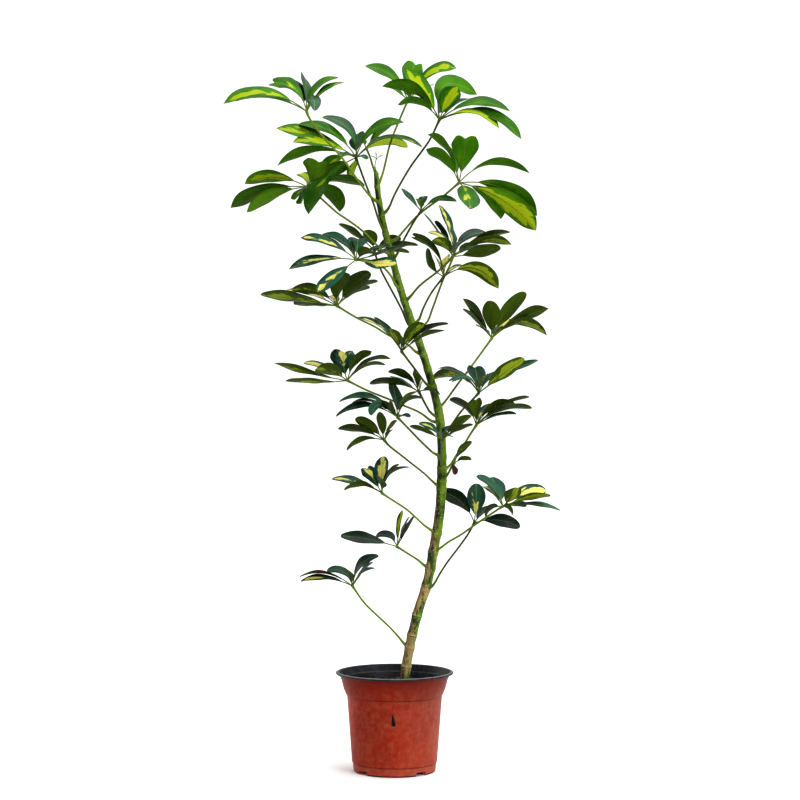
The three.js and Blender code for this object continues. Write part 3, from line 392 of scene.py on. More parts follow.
        Leaflet((-30, 452), -0.8, 0.6, 0.2, (-22, 464), size=0.6),
        Leaflet((-14, 471), -0.7, -0.5, 0.3, (-8, 462), size=0.55),
        Leaflet((-7, 468), 0.5, -0.2, 0.7, size=0.4),
        Leaflet((-3, 494), 0.85, 0.6, 0, (1, 474), size=1),
        Leaflet((30, 483), -0.5, -0.2, 0.1, (13, 471)),
        Leaflet((37, 473), 0.3, -0.18, 0.1, (20, 472)),
        Leaflet((16, 449.5), -0.8, 0.2, 0.2, size=0.45),
        node=399, hub=(4, 449, -62), reach=80,
        stalk=((49, 404, -10), (45, 407.6, -14), (33, 419), (18.5, 434)),
    ),
    plan_leaf(
        "leaf_21_lower_front",
        Leaflet((31, 441.6), 0.3, 0.5, 0.5, (46, 436)),
        Leaflet((19, 438), -0.3, -0.4, 0.4, (40, 431)),
        Leaflet((62, 434), 0.95, 0.25, 0, size=0.6),
        Leaflet((72, 426), -0.85, -0.6, 0.3, size=0.6),
        Leaflet((69, 439), 0.3, 0.5, 0, size=0.7),
        Leaflet((98, 451), 0.2, -0.6, 0.3, (80, 441)),
        Leaflet((100, 440), -0.5, -0.4, 0, (84, 435)),
        node=384, hub=(61, 421, -62), reach=58, stalk=((59.5, 398, -18), (60.5, 411, -40)),
    ),
    plan_leaf(
        "leaf_22_lower_right",
        Leaflet((70, 471), 0.5, -0.45, 0, (90, 463)),
        Leaflet((104, 473.5), -0.3, -0.85, 0, (104, 460), size=0.7, end=Tip.NOTCHED),
        Leaflet((119, 466.6), 0.8, 0.4, 0.5, (112, 456), size=0.65),
        Leaflet((153, 468), -0.7, -0.5, 0.05, (130, 464)),
        Leaflet((172, 474), 0.5, -0.25, 0.1, (140, 466), size=1.02),
        Leaflet((175, 460), -0.2, -0.35, 0.1, (145, 461), size=1),
        Leaflet((155, 453), -0.6, 0.18, 0, (132, 452)),
        node=379, hub=(104, 439, 34), reach=76, stalk=((72, 390, 8), (78, 400), (88, 414), (98, 430)),
    ),
    plan_leaf(
        "leaf_23_lower_right",
        Leaflet((98.6, 418), 0.1, -0.75, 0.45, (84, 406), size=0.95),
        Leaflet((98, 396), -0.6, -0.6, 0.45, (86, 396), size=0.8),
        Leaflet((76, 376), -0.5, 0.6, 0.1, size=0.45, wide=1.7, dry=0.9),
        node=368, hub=(76, 391, -24), reach=40, stalk=((68, 377, -9), (72, 385, -16)),
    ),
    plan_leaf(
        "leaf_24_lower_left",
        Leaflet((-61.4, 407.6), -0.4, -0.4, 0, (-35, 422), size=0.9),
        Leaflet((-72, 434), 0, -0.5, 0.05, (-42, 433), size=1),
        Leaflet((-50, 448), -0.5, -0.78, 0, (-32, 438)),
        Leaflet((-18, 456), -0.6, -0.75, 0, (-17, 440), size=0.75),
        Leaflet((3, 445), 0.4, -0.35, 0, (-7, 434), size=0.65, dry=0.5),
        Leaflet((-3, 434), 0.7, 0.3, 0.05, size=0.5),
        node=358, hub=(-13, 420, -20), reach=62,
        stalk=((49, 367), (38.6, 377), (22.7, 389.6), (7, 402), (-8, 414)),
    ),
    plan_leaf(
        "leaf_25_low_left",
        Leaflet((-80, 370.5), 0.1, 0.4, 0.62, (-50, 367), size=0.95),
        Leaflet((-65, 357), -0.5, -0.4, 0.2, (-45, 363)),
        Leaflet((-37, 386), 0.6, 0.9, 0.5, (-28, 372), end=Tip.NOTCHED),
        Leaflet((-15, 399.5), 0.6, 0.8, 0.68, (-16, 380), wide=1.12),
        Leaflet((-18, 373), -0.85, -0.65, 0.3, size=0.6),
        Leaflet((5.7, 389.6), 0.3, -0.25, 0.3, (-8, 377), size=0.7),
        Leaflet((19.3, 385.4), -0.3, -0.25, 0.3, (-2, 380), size=0.75),
        node=301, hub=(-16, 352.5, -32), reach=72, stalk=((38.6, 311), (26, 322.6), (14, 333), (0, 342)),
        tone=StalkTone.LIGHT,
    ),
    plan_leaf(
        "leaf_26_low_right",
        Leaflet((104.5, 375.5), 0.3, 0.45, 0, (122, 363)),
        Leaflet((123, 373), 0.6, 0.85, 0, (131, 358)),
        Leaflet((114, 361), 0.9, 0.4, 0.6, size=0.7),
        Leaflet((156, 360), -0.75, -0.9, 0.75, (150, 350), size=0.7),
        Leaflet((193, 356), 0.4, 0.72, 0.62, (172, 355)),
        Leaflet((199, 349), -0.2, -0.42, 0.85, (170, 346)),
        Leaflet((212, 331), -0.1, 0.3, 0.1, (180, 338), size=0.97, wide=0.72),
        Leaflet((166, 335), 0.8, -0.5, 0, size=0.6, age_shade_and_sheen=0.6),
        Leaflet((151, 326), -0.85, -0.4, 0.3, size=0.5),
        Leaflet((115, 324), -0.6, -0.5, 0, (125, 334), size=0.55, age_shade_and_sheen=0.6),
        node=277, hub=(138, 336, -44), reach=78,
        stalk=((58.8, 283, -6), (68, 290), (85, 300), (102, 312), (125, 327.5)), tone=StalkTone.LIGHT,
    ),
    plan_leaf(
        "leaf_27_low_left",
        Leaflet((-69, 298), -0.1, 0.6, 0.15, (-35, 294), size=1, age_shade_and_sheen=0.7),
        Leaflet((-23.4, 298.7), 0.85, 0.5, 0, (-8, 298), size=0.65, age_shade_and_sheen=0.8),
        Leaflet((9.4, 331), -0.3, -0.35, 0.6, (6, 310), size=0.7, age_shade_and_sheen=0.3),
        Leaflet((19.3, 323), 0.5, 0.1, 0, size=0.62, age_shade_and_sheen=0.8),
        Leaflet((26, 324), 0.2, -0.3, 0, (15, 306), size=0.65, age_shade_and_sheen=0.8),
        node=256, hub=(3, 284.5, 20), reach=74, stalk=((38, 260.5), (31, 266.6), (18.6, 274.6)),
        tone=StalkTone.LIGHT,
    ),
    plan_leaf(
        "leaf_28_low_right",
        Leaflet((57, 355), 0.9, 0.85, 0, (80, 345), size=1, age_shade_and_sheen=0.5),
        Leaflet((104, 365), 0.4, 1, 0.55, (104, 345), wide=1.15),
        Leaflet((120, 337), 0.8, 0.4, 0, (112, 328), size=0.6),
        Leaflet((159.7, 309), -0.3, 0.8, 0, (132, 318), age_shade_and_sheen=0.8),
        node=229, hub=(101.5, 315, 16), reach=72,
        stalk=((48, 234), (57.7, 250), (67.5, 265), (79.4, 280.6), (94, 301)), tone=StalkTone.DARK,
    ),
    plan_leaf(
        "leaf_29_low_left",
        Leaflet((-122, 246.4), 0.2, -0.22, 0.55, (-85, 250), size=1, dry=0.62),
        Leaflet((-120, 240), -0.3, 0.25, 0.55, (-85, 244), size=0.97, age_shade_and_sheen=0.5),
        Leaflet((-86, 254), 0.7, 0.5, 0, (-68, 253), size=0.65, age_shade_and_sheen=0.5),
        Leaflet((-60, 255), -0.8, -0.55, 0.2, size=0.55),
        Leaflet((-20.3, 273.5), 0.4, 0.5, 0.1, (-38, 266), size=0.8, age_shade_and_sheen=0.7),
        Leaflet((-28, 265), 0.7, 0.2, 0.1, size=0.7, age_shade_and_sheen=0.5),
        Leaflet((-25, 256.3), -0.5, 0.1, 0, (-40, 252), size=0.6),
        node=156, hub=(-53.5, 234, 4), reach=72,
        stalk=((12, 161), (6.4, 168), (-6, 181.6), (-24, 198.5), (-39, 213.4)), tone=StalkTone.LIGHT,
    ),
)

TIP_TUFT = plan_leaf(
    "tip_tuft",
    Leaflet((-30, 782), 0.4, 0.4, 0, size=0.7),
    Leaflet((-15, 783), 0.4, 0.4, 0, size=0.7),
    Leaflet((-24, 787), 0.6, 0.4, 0, size=0.7),
    node=762, hub=(-23, 779, -11), reach=12, stalk=((-25, 771, -7),), tone=StalkTone.LIGHT,
)


UPPER_LEAVES = {"tip_tuft", *(plan.name for plan in LEAVES[:8])}


def srgb(code: str) -> tuple[float, float, float, float]:
    """Turns an sRGB hex colour, such as "#A5331F", to linear red, green, blue and an alpha of 1."""
    channels = [int(code[place:place + 2], 16) / 255 for place in (1, 3, 5)]
    linear = [c / 12.92 if c <= 0.04045 else ((c + 0.055) / 1.055) ** 2.4 for c in channels]
    return (linear[0], linear[1], linear[2], 1.0)


def clamp(value: float, low: float = 0.0, high: float = 1.0) -> float:
    """Returns the value, held between low and high."""
    return max(low, min(high, value))


def ease(low: float, high: float, value: float) -> float:
    """Returns 0 below low, 1 above high and a smooth step between."""
    share = clamp((value - low) / (high - low))
    return share * share * (3 - 2 * share)


def read_off(pairs: tuple[tuple[float, float], ...], place: float) -> float:
    """Reads a value off a line of (place, value) pairs.

    Args:
        pairs: The pairs, by growing place.
        place: Where to read.

    Returns:
        The value there, level beyond both ends.
    """
    for (start, low), (end, high) in zip(pairs, pairs[1:]):
        if place <= end:
            return low + (high - low) * clamp((place - start) / (end - start))
    return pairs[-1][1]


def from_front_view(x: float, height: float, depth: float) -> Vector:
    """Finds the true place, in millimetres, of what is seen at x and height at a given depth."""
    scale = (VIEW_DISTANCE + depth) / VIEW_DISTANCE
    return Vector((VIEW_X + (x - VIEW_X) * scale, depth, VIEW_HEIGHT + (height - VIEW_HEIGHT) * scale))


class Spline:
    """A smooth centripetal line through points in millimetres, read by its share of the length."""

    SAMPLES = 240
    LOOK_ROUND = 0.002

    def __init__(self, points: list[Vector]) -> None:
        """Fits the line to the points that it passes."""
        before = points[0] * 2 - points[1]
        after = points[-1] * 2 - points[-2]
        self.points = [before, *points, after]
        self.spans = len(points) - 1
        places = [self.raw(i / self.SAMPLES) for i in range(self.SAMPLES + 1)]
        self.lengths = [0.0]
        for start, end in zip(places, places[1:]):
            self.lengths.append(self.lengths[-1] + (end - start).length)

    @property
    def length(self) -> float:
        """The line's whole length, in millimetres."""
        return self.lengths[-1]

    def raw(self, share: float) -> Vector:
        """Returns the point at a share of the spans, whatever their lengths."""
        place = clamp(share) * self.spans
        span = min(int(place), self.spans - 1)
        t = place - span
        p0, p1, p2, p3 = self.points[span:span + 4]
        d1 = max((p2 - p1).length ** 0.5, 1e-4)
        d0 = (p1 - p0).length ** 0.5 or d1
        d2 = (p3 - p2).length ** 0.5 or d1
        m1 = ((p1 - p0) / d0 - (p2 - p0) / (d0 + d1) + (p2 - p1) / d1) * d1
        m2 = ((p2 - p1) / d1 - (p3 - p1) / (d1 + d2) + (p3 - p2) / d2) * d1
        cubic = p1 * 2 - p2 * 2 + m1 + m2
        square = p2 * 3 - p1 * 3 - m1 * 2 - m2
        return p1 + m1 * t + square * t ** 2 + cubic * t ** 3

    def at(self, share: float) -> Vector:
        """Returns the point at a share of the length."""
        goal = clamp(share) * self.length
        low = min(bisect_right(self.lengths, goal), self.SAMPLES) - 1
        step = self.lengths[low + 1] - self.lengths[low]
        within = (goal - self.lengths[low]) / step if step else 0
        return self.raw((low + within) / self.SAMPLES)

    def along(self, share: float) -> Vector:
        """Returns the line's direction at a share of the length."""
        return (self.at(share + self.LOOK_ROUND) - self.at(share - self.LOOK_ROUND)).normalized()


def fill_sockets(tree: NodeTree, node: Node, inputs: dict[Any, Any]) -> None:
    """Fills a node's sockets.

    Args:
        tree: The tree that the node is in.
        node: The node.
        inputs: What goes into its sockets, by name or number: a socket to join or a value.
    """
    for socket, source in inputs.items():
        if isinstance(source, NodeSocket):
            tree.links.new(source, node.inputs[socket])
        else:
            node.inputs[socket].default_value = source


def add_node(tree: NodeTree, kind: str, inputs: dict[Any, Any] | None = None,
             **settings: Any) -> NodeOutputs:
    """Adds a shader node.

    Args:
        tree: The tree that gets it.
        kind: The node's type, without ShaderNode.
        inputs: What goes into its sockets, by name or number: a socket to join or a value.
        settings: The node's own settings.

    Returns:
        Its outputs.
    """
    node = tree.nodes.new("ShaderNode" + kind)
    for name, value in settings.items():
        setattr(node, name, value)
    fill_sockets(tree, node, inputs or {})
    return node.outputs


def grow_sheet(bm: BMesh, columns: int, rows: int,
               place: Callable[[float, float], Vector]) -> list[BMVert]:
    """Adds a grid and moves each of its vertices.

    Args:
        bm: The mesh that gets it.
        columns: Faces from side to side.
        rows: Faces from end to end.
        place: Gives the place in millimetres at a share of both ways.

    Returns:
        The vertices, still in the grid's order.
    """
    made = bmesh.ops.create_grid(bm, x_segments=columns, y_segments=rows, size=0.5)
    for vert in made["verts"]:
        vert.co = place(vert.co.x + 0.5, vert.co.y + 0.5) * MM
    return made["verts"]


def spin_round(bm: BMesh, steps: int) -> None:
    """Spins the half profile that a mesh holds once round the upright axis, in steps, and closes it."""
    bmesh.ops.spin(bm, geom=[*bm.verts, *bm.edges], axis=(0, 0, 1), cent=(0, 0, 0), angle=TURN,
                   steps=steps, use_merge=True, use_duplicate=False)
    bmesh.ops.remove_doubles(bm, verts=bm.verts, dist=WELD)
    bmesh.ops.recalc_face_normals(bm, faces=bm.faces)


def faces_of(verts: list[BMVert]) -> list[BMFace]:
    """Returns the faces that use any of the vertices."""
    return list({face: None for vert in verts for face in vert.link_faces})


def add_object(name: str, data: Any) -> Object:
    """Adds an object with its mesh, light or camera to the scene and returns it."""
    added = bpy.data.objects.new(name, data)
    bpy.context.scene.collection.objects.link(added)
    return added


def add_mesh(bm: BMesh, name: str) -> Object:
    """Adds a mesh, which it frees, to the scene as an object and returns that."""
    mesh = bpy.data.meshes.new(name)
    bm.to_mesh(mesh)
    bm.free()
    return add_object(name, mesh)


def settle_piece(bm: BMesh, name: str, finishes: list[Material], slot: Slot) -> Object:
    """Turns a finished mesh to a smooth piece that stands for the node whose name it has.

    Args:
        bm: The mesh, in metres and in place. It is freed.
        name: The piece's name, which is the node's with _dressed after it.
        finishes: Its materials, by slot number.
        slot: Not used.

    Returns:
        The piece.
    """
    for face in bm.faces:
        face.smooth = True
    piece = add_mesh(bm, name)
    for finish in finishes:
        piece.data.materials.append(finish)
    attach(piece, "root")
    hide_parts(name.removesuffix("_dressed"))
    log.info("%s: %d faces", name, len(piece.data.polygons))
    return piece


@dataclass(frozen=True)
class Layer:
    """A colour laid over others, which shows as much as a value says.

    ramp, where there is one, is the value at which it starts, the value at which it is full and
    how much of it then shows.
    """

    value: Any
    colour: Any
    ramp: tuple[float, float, float] | None = None


def lay_over(tree: NodeTree, ground: Any, layers: Iterable[Layer]) -> NodeSocket:
    """Lays colours over a ground, one after another.

    Args:
        tree: The material's tree.
        ground: The colour under them, as sRGB hex or a socket.
        layers: What lies on it, from the lowest up.

    Returns:
        The socket of the whole.
    """
    colour = srgb(ground) if isinstance(ground, str) else ground
    for layer in layers:
        amount = layer.value
        if layer.ramp:
            start, full, most = layer.ramp
            amount = add_node(tree, "MapRange", {0: amount, 1: start, 2: full, 3: 0, 4: most})[0]
        over = srgb(layer.colour) if isinstance(layer.colour, str) else layer.colour
        colour = add_node(tree, "Mix", {0: amount, 6: colour, 7: over}, data_type="RGBA")[2]
    return colour


class Finish(ABC):
    """What all finishes share: a named material whose shader gets the finish's surface."""

    name: str

    @abstractmethod
    def surface(self, tree: NodeTree) -> dict[str, Any]:
        """Builds the patterns in a tree and returns what goes into the shader's sockets, by name."""

    def dress(self) -> Material:
        """Builds the material and returns it."""
        material = bpy.data.materials.new(self.name)
        material.use_nodes = True
        tree = material.node_tree
        fill_sockets(tree, tree.nodes["Principled BSDF"], self.surface(tree))
        return material


@dataclass(frozen=True)
class NurseryPlastic(Finish):
    """Moulded polypropylene: satin, evenly red-brown, with handling haze, dust and a few specks.

    The steps of the wall and the mark's places are in metres. The mark is a plain drop on the
    front, round below and drawn out to a point above. Shade under the lip and in the wall's steps,
    and a sheen on the right, are painted into the colour.
    """

    name: str = "moulded_polypropylene_red_brown"
    body: str = "#B23518"
    shade: str = "#94260F"
    dusty: str = "#C46A52"
    under_lip_shade: str = "#6A1406"
    speck: str = "#CF8F7A"
    step_shade: str = "#4E1509"
    mark: str = "#0C0707"
    right_side_sheen: str = "#94604F"
    foot_step: float = 0.0112
    collar_step: float = 0.0962
    mark_x: float = -0.0012
    mark_lean: float = -0.0012
    mark_round: float = 0.0675
    mark_point: float = 0.0802
    mark_radius: float = 0.0026
    roughness: float = 0.5
    gloss_level: float = 0.13
    refraction: float = 1.49

    def surface(self, tree: NodeTree) -> dict[str, Any]:
        """Builds the outside, from the plastic up to the mark, and returns it by socket."""
        place = add_node(tree, "TexCoord")["Object"]
        axes = add_node(tree, "SeparateXYZ", {0: place})
        upright = add_node(tree, "Mapping", {"Vector": place, "Scale": (1, 1, 0.75)})[0]
        flow, smears, rub, haze, grain = (
            add_node(tree, "TexNoise", {"Vector": where, "Scale": scale, "Detail": detail,
                                        "Roughness": rough})[0]
            for where, scale, detail, rough in (
                (place, 16, 2, 0.4), (upright, 75, 6, 0.72), (place, 140, 4, 0.7),
                (place, 60, 5, 0.65), (place, 900, 2, 0.5),
            )
        )
        foot = add_node(tree, "MapRange", {0: axes[2], 1: 0.0125, 2: 0.0085, 3: 0, 4: 0.6})[0]
        rubbed = add_node(tree, "Math", {0: foot, 1: rub}, operation="MULTIPLY")[0]
        colour = lay_over(tree, self.shade, (
            # Broad paler and darker zones, about 60 mm across, from the mould's flow
            Layer(flow, self.body, (0.35, 0.68, 1)),
            # A dry film of dust, in clouds about 12 mm wide
            Layer(smears, self.dusty, (0.42, 0.72, 0.34)),
            # Painted sheen: greyer towards the right, where the light falls, over the last 60 mm of its
            # width
            Layer(axes[0], self.right_side_sheen, (0, 0.06, 0.42)),
            # Fine mottling, 2 to 7 mm, where the skin is scuffed
            Layer(rub, self.dusty, (0.46, 0.66, 0.3)),
            # Painted shade under the lip, deepening up the collar's 25 mm
            Layer(axes[2], self.under_lip_shade, (0.09, 0.121, 0.8)),
            # Dust and rubbed plastic round the foot, up to about 12 mm
            Layer(rubbed, self.dusty),
            # Painted shade along the steps of the wall, about 1 mm deep
            *(Layer(self.height_off(tree, axes[2], step), self.step_shade, (0.0011, 0.0003, 0.6))
              for step in (self.foot_step, self.collar_step)),
            # Pale specks under 1 mm, about 15 mm apart
            Layer(self.specks(tree, place), self.speck),
            Layer(self.watering_mark(tree, axes), self.mark),
        ))
        gloss = add_node(tree, "MapRange", {0: haze, 1: 0.3, 2: 0.7, 3: self.roughness - 0.06,
                                            4: self.roughness + 0.08})[0]
        # The mould's fine grain, 0.4 mm, drawn coarser to show
        bump = add_node(tree, "Bump", {"Height": grain, "Strength": 0.12, "Distance": 0.0004})[0]
        return {"Base Color": colour, "Roughness": gloss, "Normal": bump, "IOR": self.refraction,
                "Specular IOR Level": self.gloss_level}

    def height_off(self, tree: NodeTree, height: Any, step: float) -> NodeSocket:
        """Returns how far a place lies above or below a step of the wall."""
        above = add_node(tree, "Math", {0: height, 1: step}, operation="SUBTRACT")[0]
        return add_node(tree, "Math", {0: above}, operation="ABSOLUTE")[0]

    def specks(self, tree: NodeTree, place: Any) -> NodeSocket:
        """Returns how much of a speck there is at a place: half the cells, 8 mm wide, hold one."""
        cells = add_node(tree, "TexVoronoi", {"Vector": place, "Scale": 120, "Randomness": 1})
        dot = add_node(tree, "MapRange", {0: cells["Distance"], 1: 0.07, 2: 0.04, 3: 0, 4: 0.7})[0]
        draw = add_node(tree, "SeparateColor", {0: cells["Color"]})[0]
        kept = add_node(tree, "Math", {0: draw, 1: 0.5}, operation="GREATER_THAN")[0]
        return add_node(tree, "Math", {0: dot, 1: kept}, operation="MULTIPLY")[0]

    def watering_mark(self, tree: NodeTree, axes: Any) -> NodeSocket:
        """Draws the drop on the front.

        Args:
            tree: The material's tree.
            axes: The sockets of the place's three axes.

        Returns:
            1 in the drop and 0 outside it.
        """
        up = add_node(tree, "MapRange", {0: axes[2], 1: self.mark_round, 2: self.mark_point, 3: 0,
                                         4: 1})[0]
        middle = add_node(tree, "MapRange", {0: up, 1: 0, 2: 1, 3: self.mark_x,
                                             4: self.mark_x + self.mark_lean})[0]
        side = add_node(tree, "Math", {0: axes[0], 1: middle}, operation="SUBTRACT")[0]
        down = add_node(tree, "Math", {0: axes[2], 1: self.mark_round}, operation="SUBTRACT")[0]
        below = add_node(tree, "Math", {0: down, 1: 0}, operation="MINIMUM")[0]
        offset = add_node(tree, "CombineXYZ", {0: side, 1: below})[0]
        away = add_node(tree, "VectorMath", {0: offset}, operation="LENGTH")["Value"]
        narrow = add_node(tree, "Math", {0: 1, 1: up}, operation="SUBTRACT")[0]
        rounded = add_node(tree, "Math", {0: narrow, 1: 0.7}, operation="POWER")[0]
        reach = add_node(tree, "Math", {0: rounded, 1: self.mark_radius}, operation="MULTIPLY")[0]
        inside = add_node(tree, "Math", {0: away, 1: reach}, operation="LESS_THAN")[0]
        front = add_node(tree, "Math", {0: axes[1], 1: 0}, operation="LESS_THAN")[0]
        return add_node(tree, "Math", {0: inside, 1: front}, operation="MULTIPLY")[0]


@dataclass(frozen=True)
class BlackPlastic(Finish):
    """Moulded black polypropylene, the pot's inner layer and lip: satin, with a grey dusty haze.

    The lip's places are in metres. The haze's blue-grey is partly a painted sheen, and the lip's pale
    top edge partly a painted highlight.
    """

    name: str = "moulded_polypropylene_black"
    body: str = "#020203"
    haze: str = "#343C4C"
    worn_and_lit: str = "#8D8786"
    lip_top: float = 0.1262
    worn_and_lit_from: float = 0.0012
    worn_and_lit_full: float = 0.0004
    roughness: float = 0.42
    gloss_level: float = 0.3
    refraction: float = 1.49

    def surface(self, tree: NodeTree) -> dict[str, Any]:
        """Builds the haze and the lip's pale edge, and returns the finish by socket."""
        place = add_node(tree, "TexCoord")["Object"]
        height = add_node(tree, "SeparateXYZ", {0: place})[2]
        dust = add_node(tree, "TexNoise", {"Vector": place, "Scale": 110, "Detail": 6,
                                           "Roughness": 0.8})[0]
        edge = add_node(tree, "MapRange", {0: height, 1: self.lip_top - self.worn_and_lit_from,
                                           2: self.lip_top - self.worn_and_lit_full, 3: 0, 4: 1.3})[0]
        rubbed = add_node(tree, "Math", {0: edge, 1: dust}, operation="MULTIPLY", use_clamp=True)
        colour = lay_over(tree, self.body, (
            # Dust in clouds about 9 mm wide, its blue-grey partly a painted sheen
            Layer(dust, self.haze, (0.47, 0.66, 0.8)),
            # The lip's top edge, about 1 mm, rubbed pale by handling and painted as a highlight
            Layer(rubbed[0], self.worn_and_lit),
        ))
        gloss = add_node(tree, "MapRange", {0: dust, 1: 0.3, 2: 0.8, 3: self.roughness,
                                            4: self.roughness + 0.25})[0]
        return {"Base Color": colour, "Roughness": gloss, "IOR": self.refraction,
                "Specular IOR Level": self.gloss_level}


@dataclass(frozen=True)
class PottingMix(Finish):
    """Peat potting mix: dark, matt and crumbly, from damp black to dry brown bits."""

    name: str = "peat_potting_mix"
    damp: str = "#0B0806"
    dry: str = "#2E2118"
    fibre: str = "#5E4B38"
    roughness: float = 0.95

    def surface(self, tree: NodeTree) -> dict[str, Any]:
        """Builds the crumbs and the pale bits, and returns the finish by socket."""
        place = add_node(tree, "TexCoord")["Object"]
        lumps = add_node(tree, "TexNoise", {"Vector": place, "Scale": 260, "Detail": 5,
                                            "Roughness": 0.75})[0]
        bits = add_node(tree, "TexVoronoi", {"Vector": place, "Scale": 330, "Randomness": 1})
        draw = add_node(tree, "SeparateColor", {0: bits["Color"]})[0]
        picked = add_node(tree, "Math", {0: draw, 1: 0.93}, operation="GREATER_THAN")[0]
        colour = lay_over(tree, self.damp, (
            # Crumbs 2 to 5 mm across
            Layer(lumps, self.dry, (0.36, 0.72, 1)),
            # One bit in fourteen is pale fibre, about 3 mm across
            Layer(picked, self.fibre, (0, 1, 0.7)),
        ))
        bump = add_node(tree, "Bump", {"Height": lumps, "Strength": 0.7, "Distance": 0.0015})[0]
        return {"Base Color": colour, "Normal": bump, "Roughness": self.roughness}


@dataclass(frozen=True)
class GreenBark(Finish):
    """Young Schefflera bark: green skin that turns to tan cork low down, ringed by cream leaf scars."""

    name: str = "schefflera_bark"
    cork: str = "#B39C66"
    cork_shade: str = "#5E4829"
    skin: str = "#2B400A"
    lime: str = "#6C8C19"
    deep: str = "#1A2406"
    scar: str = "#D2C894"
    roughness: float = 0.55
    gloss_level: float = 0.25

    def surface(self, tree: NodeTree) -> dict[str, Any]:
        """Builds skin, cork, pores and scars, and returns the finish by socket."""
        coordinates = add_node(tree, "TexCoord")
        place = coordinates["Object"]
        rightward = add_node(tree, "SeparateXYZ", {0: coordinates["Normal"]})[0]
        bark = add_node(tree, "Attribute", attribute_name="bark")["Vector"]
        corky, scarred, near_node = add_node(tree, "SeparateXYZ", {0: bark})
        drawn = add_node(tree, "Mapping", {"Vector": place, "Scale": (1, 1, 0.3)})[0]
        patches, flashes, streaks = (
            add_node(tree, "TexNoise", {"Vector": drawn, "Scale": scale, "Detail": detail,
                                        "Roughness": rough})[0]
            for scale, detail, rough in ((130, 4, 0.62), (95, 3, 0.5), (360, 4, 0.65))
        )
        # Cork in patches 10 to 25 mm long, drawn out along the stem, and more of them on its left
        patchy, fresher, shady = (
            add_node(tree, "Math", {0: value, 1: times, 2: pattern}, operation="MULTIPLY_ADD")[0]
            for value, times, pattern in (
                (rightward, -0.1, patches), (near_node, 0.34, flashes), (rightward, -0.16, streaks),
            )
        )
        corked = add_node(tree, "Math", {0: corky, 1: patchy}, operation="ADD")[0]
        sunny = add_node(tree, "Math", {0: rightward, 1: 0.1, 2: fresher}, operation="MULTIPLY_ADD")[0]
        # Dark streaks, with painted shade on the stem's left side
        dark = add_node(tree, "MapRange", {0: shady, 1: 0.46, 2: 0.66, 3: 0, 4: 0.85})[0]
        # Lime zones where the skin is youngest, round the nodes and in long irregular flashes, with more
        # on the stem's right side as painted light
        green = lay_over(tree, self.skin, (Layer(sunny, self.lime, (0.45, 0.62, 1)),
                                           Layer(dark, self.deep)))
        tan = lay_over(tree, self.cork, (Layer(dark, self.cork_shade),))
        colour = lay_over(tree, green, (
            Layer(corked, tan, (0.91, 1.03, 1)),
            Layer(self.pores(tree, place, corky), self.scar),
            # The rings of the leaf scars, and the groove under each
            Layer(scarred, self.scar, (0.3, 0.75, 0.9)),
            Layer(scarred, self.deep, (-0.25, -0.8, 0.7)),
        ))
        height = add_node(tree, "Math", {0: patches, 1: streaks}, operation="ADD")[0]
        bump = add_node(tree, "Bump", {"Height": height, "Strength": 0.45, "Distance": 0.0009})[0]
        return {"Base Color": colour, "Normal": bump, "Roughness": self.roughness,
                "Specular IOR Level": self.gloss_level}

    def pores(self, tree: NodeTree, place: Any, corky: Any) -> NodeSocket:
        """Returns how much of a breathing pore there is: dots of 0.8 mm, which open as bark ages."""
        cells = add_node(tree, "TexVoronoi", {"Vector": place, "Scale": 260, "Randomness": 1})
        dots, opened = (
            add_node(tree, "MapRange", {0: value, 1: start, 2: full, 3: 0, 4: most})[0]
            for value, start, full, most in (
                (cells["Distance"], 0.24, 0.16, 0.55), (corky, 0.12, 0.36, 1),
            )
        )
        return add_node(tree, "Math", {0: dots, 1: opened}, operation="MULTIPLY")[0]


@dataclass(frozen=True)
class StalkSkin(Finish):
    """Smooth waxy leaf-stalk skin: from nearly black green, old and shaded, to light yellow green."""

    name: str = "schefflera_stalk_skin"
    dark: str = "#222E05"
    light: str = "#7B942B"
    roughness: float = 0.5
    gloss_level: float = 0.12

    def surface(self, tree: NodeTree) -> dict[str, Any]:
        """Builds the skin by the stalk's own tone, and returns the finish by socket."""
        place = add_node(tree, "TexCoord")["Object"]
        kind = add_node(tree, "Attribute", attribute_name="blade_kind")["Vector"]
        tone = add_node(tree, "SeparateXYZ", {0: kind})[1]
        # Faint mottling, 5 to 10 mm long
        mottle = add_node(tree, "TexNoise", {"Vector": place, "Scale": 150, "Detail": 3,
                                             "Roughness": 0.6})[0]
        shift = add_node(tree, "MapRange", {0: mottle, 1: 0.3, 2: 0.7, 3: -0.14, 4: 0.14})[0]
        lit = add_node(tree, "Math", {0: tone, 1: shift}, operation="ADD", use_clamp=True)[0]
        return {"Base Color": lay_over(tree, self.dark, (Layer(lit, self.light),)),
                "Roughness": self.roughness, "Specular IOR Level": self.gloss_level}


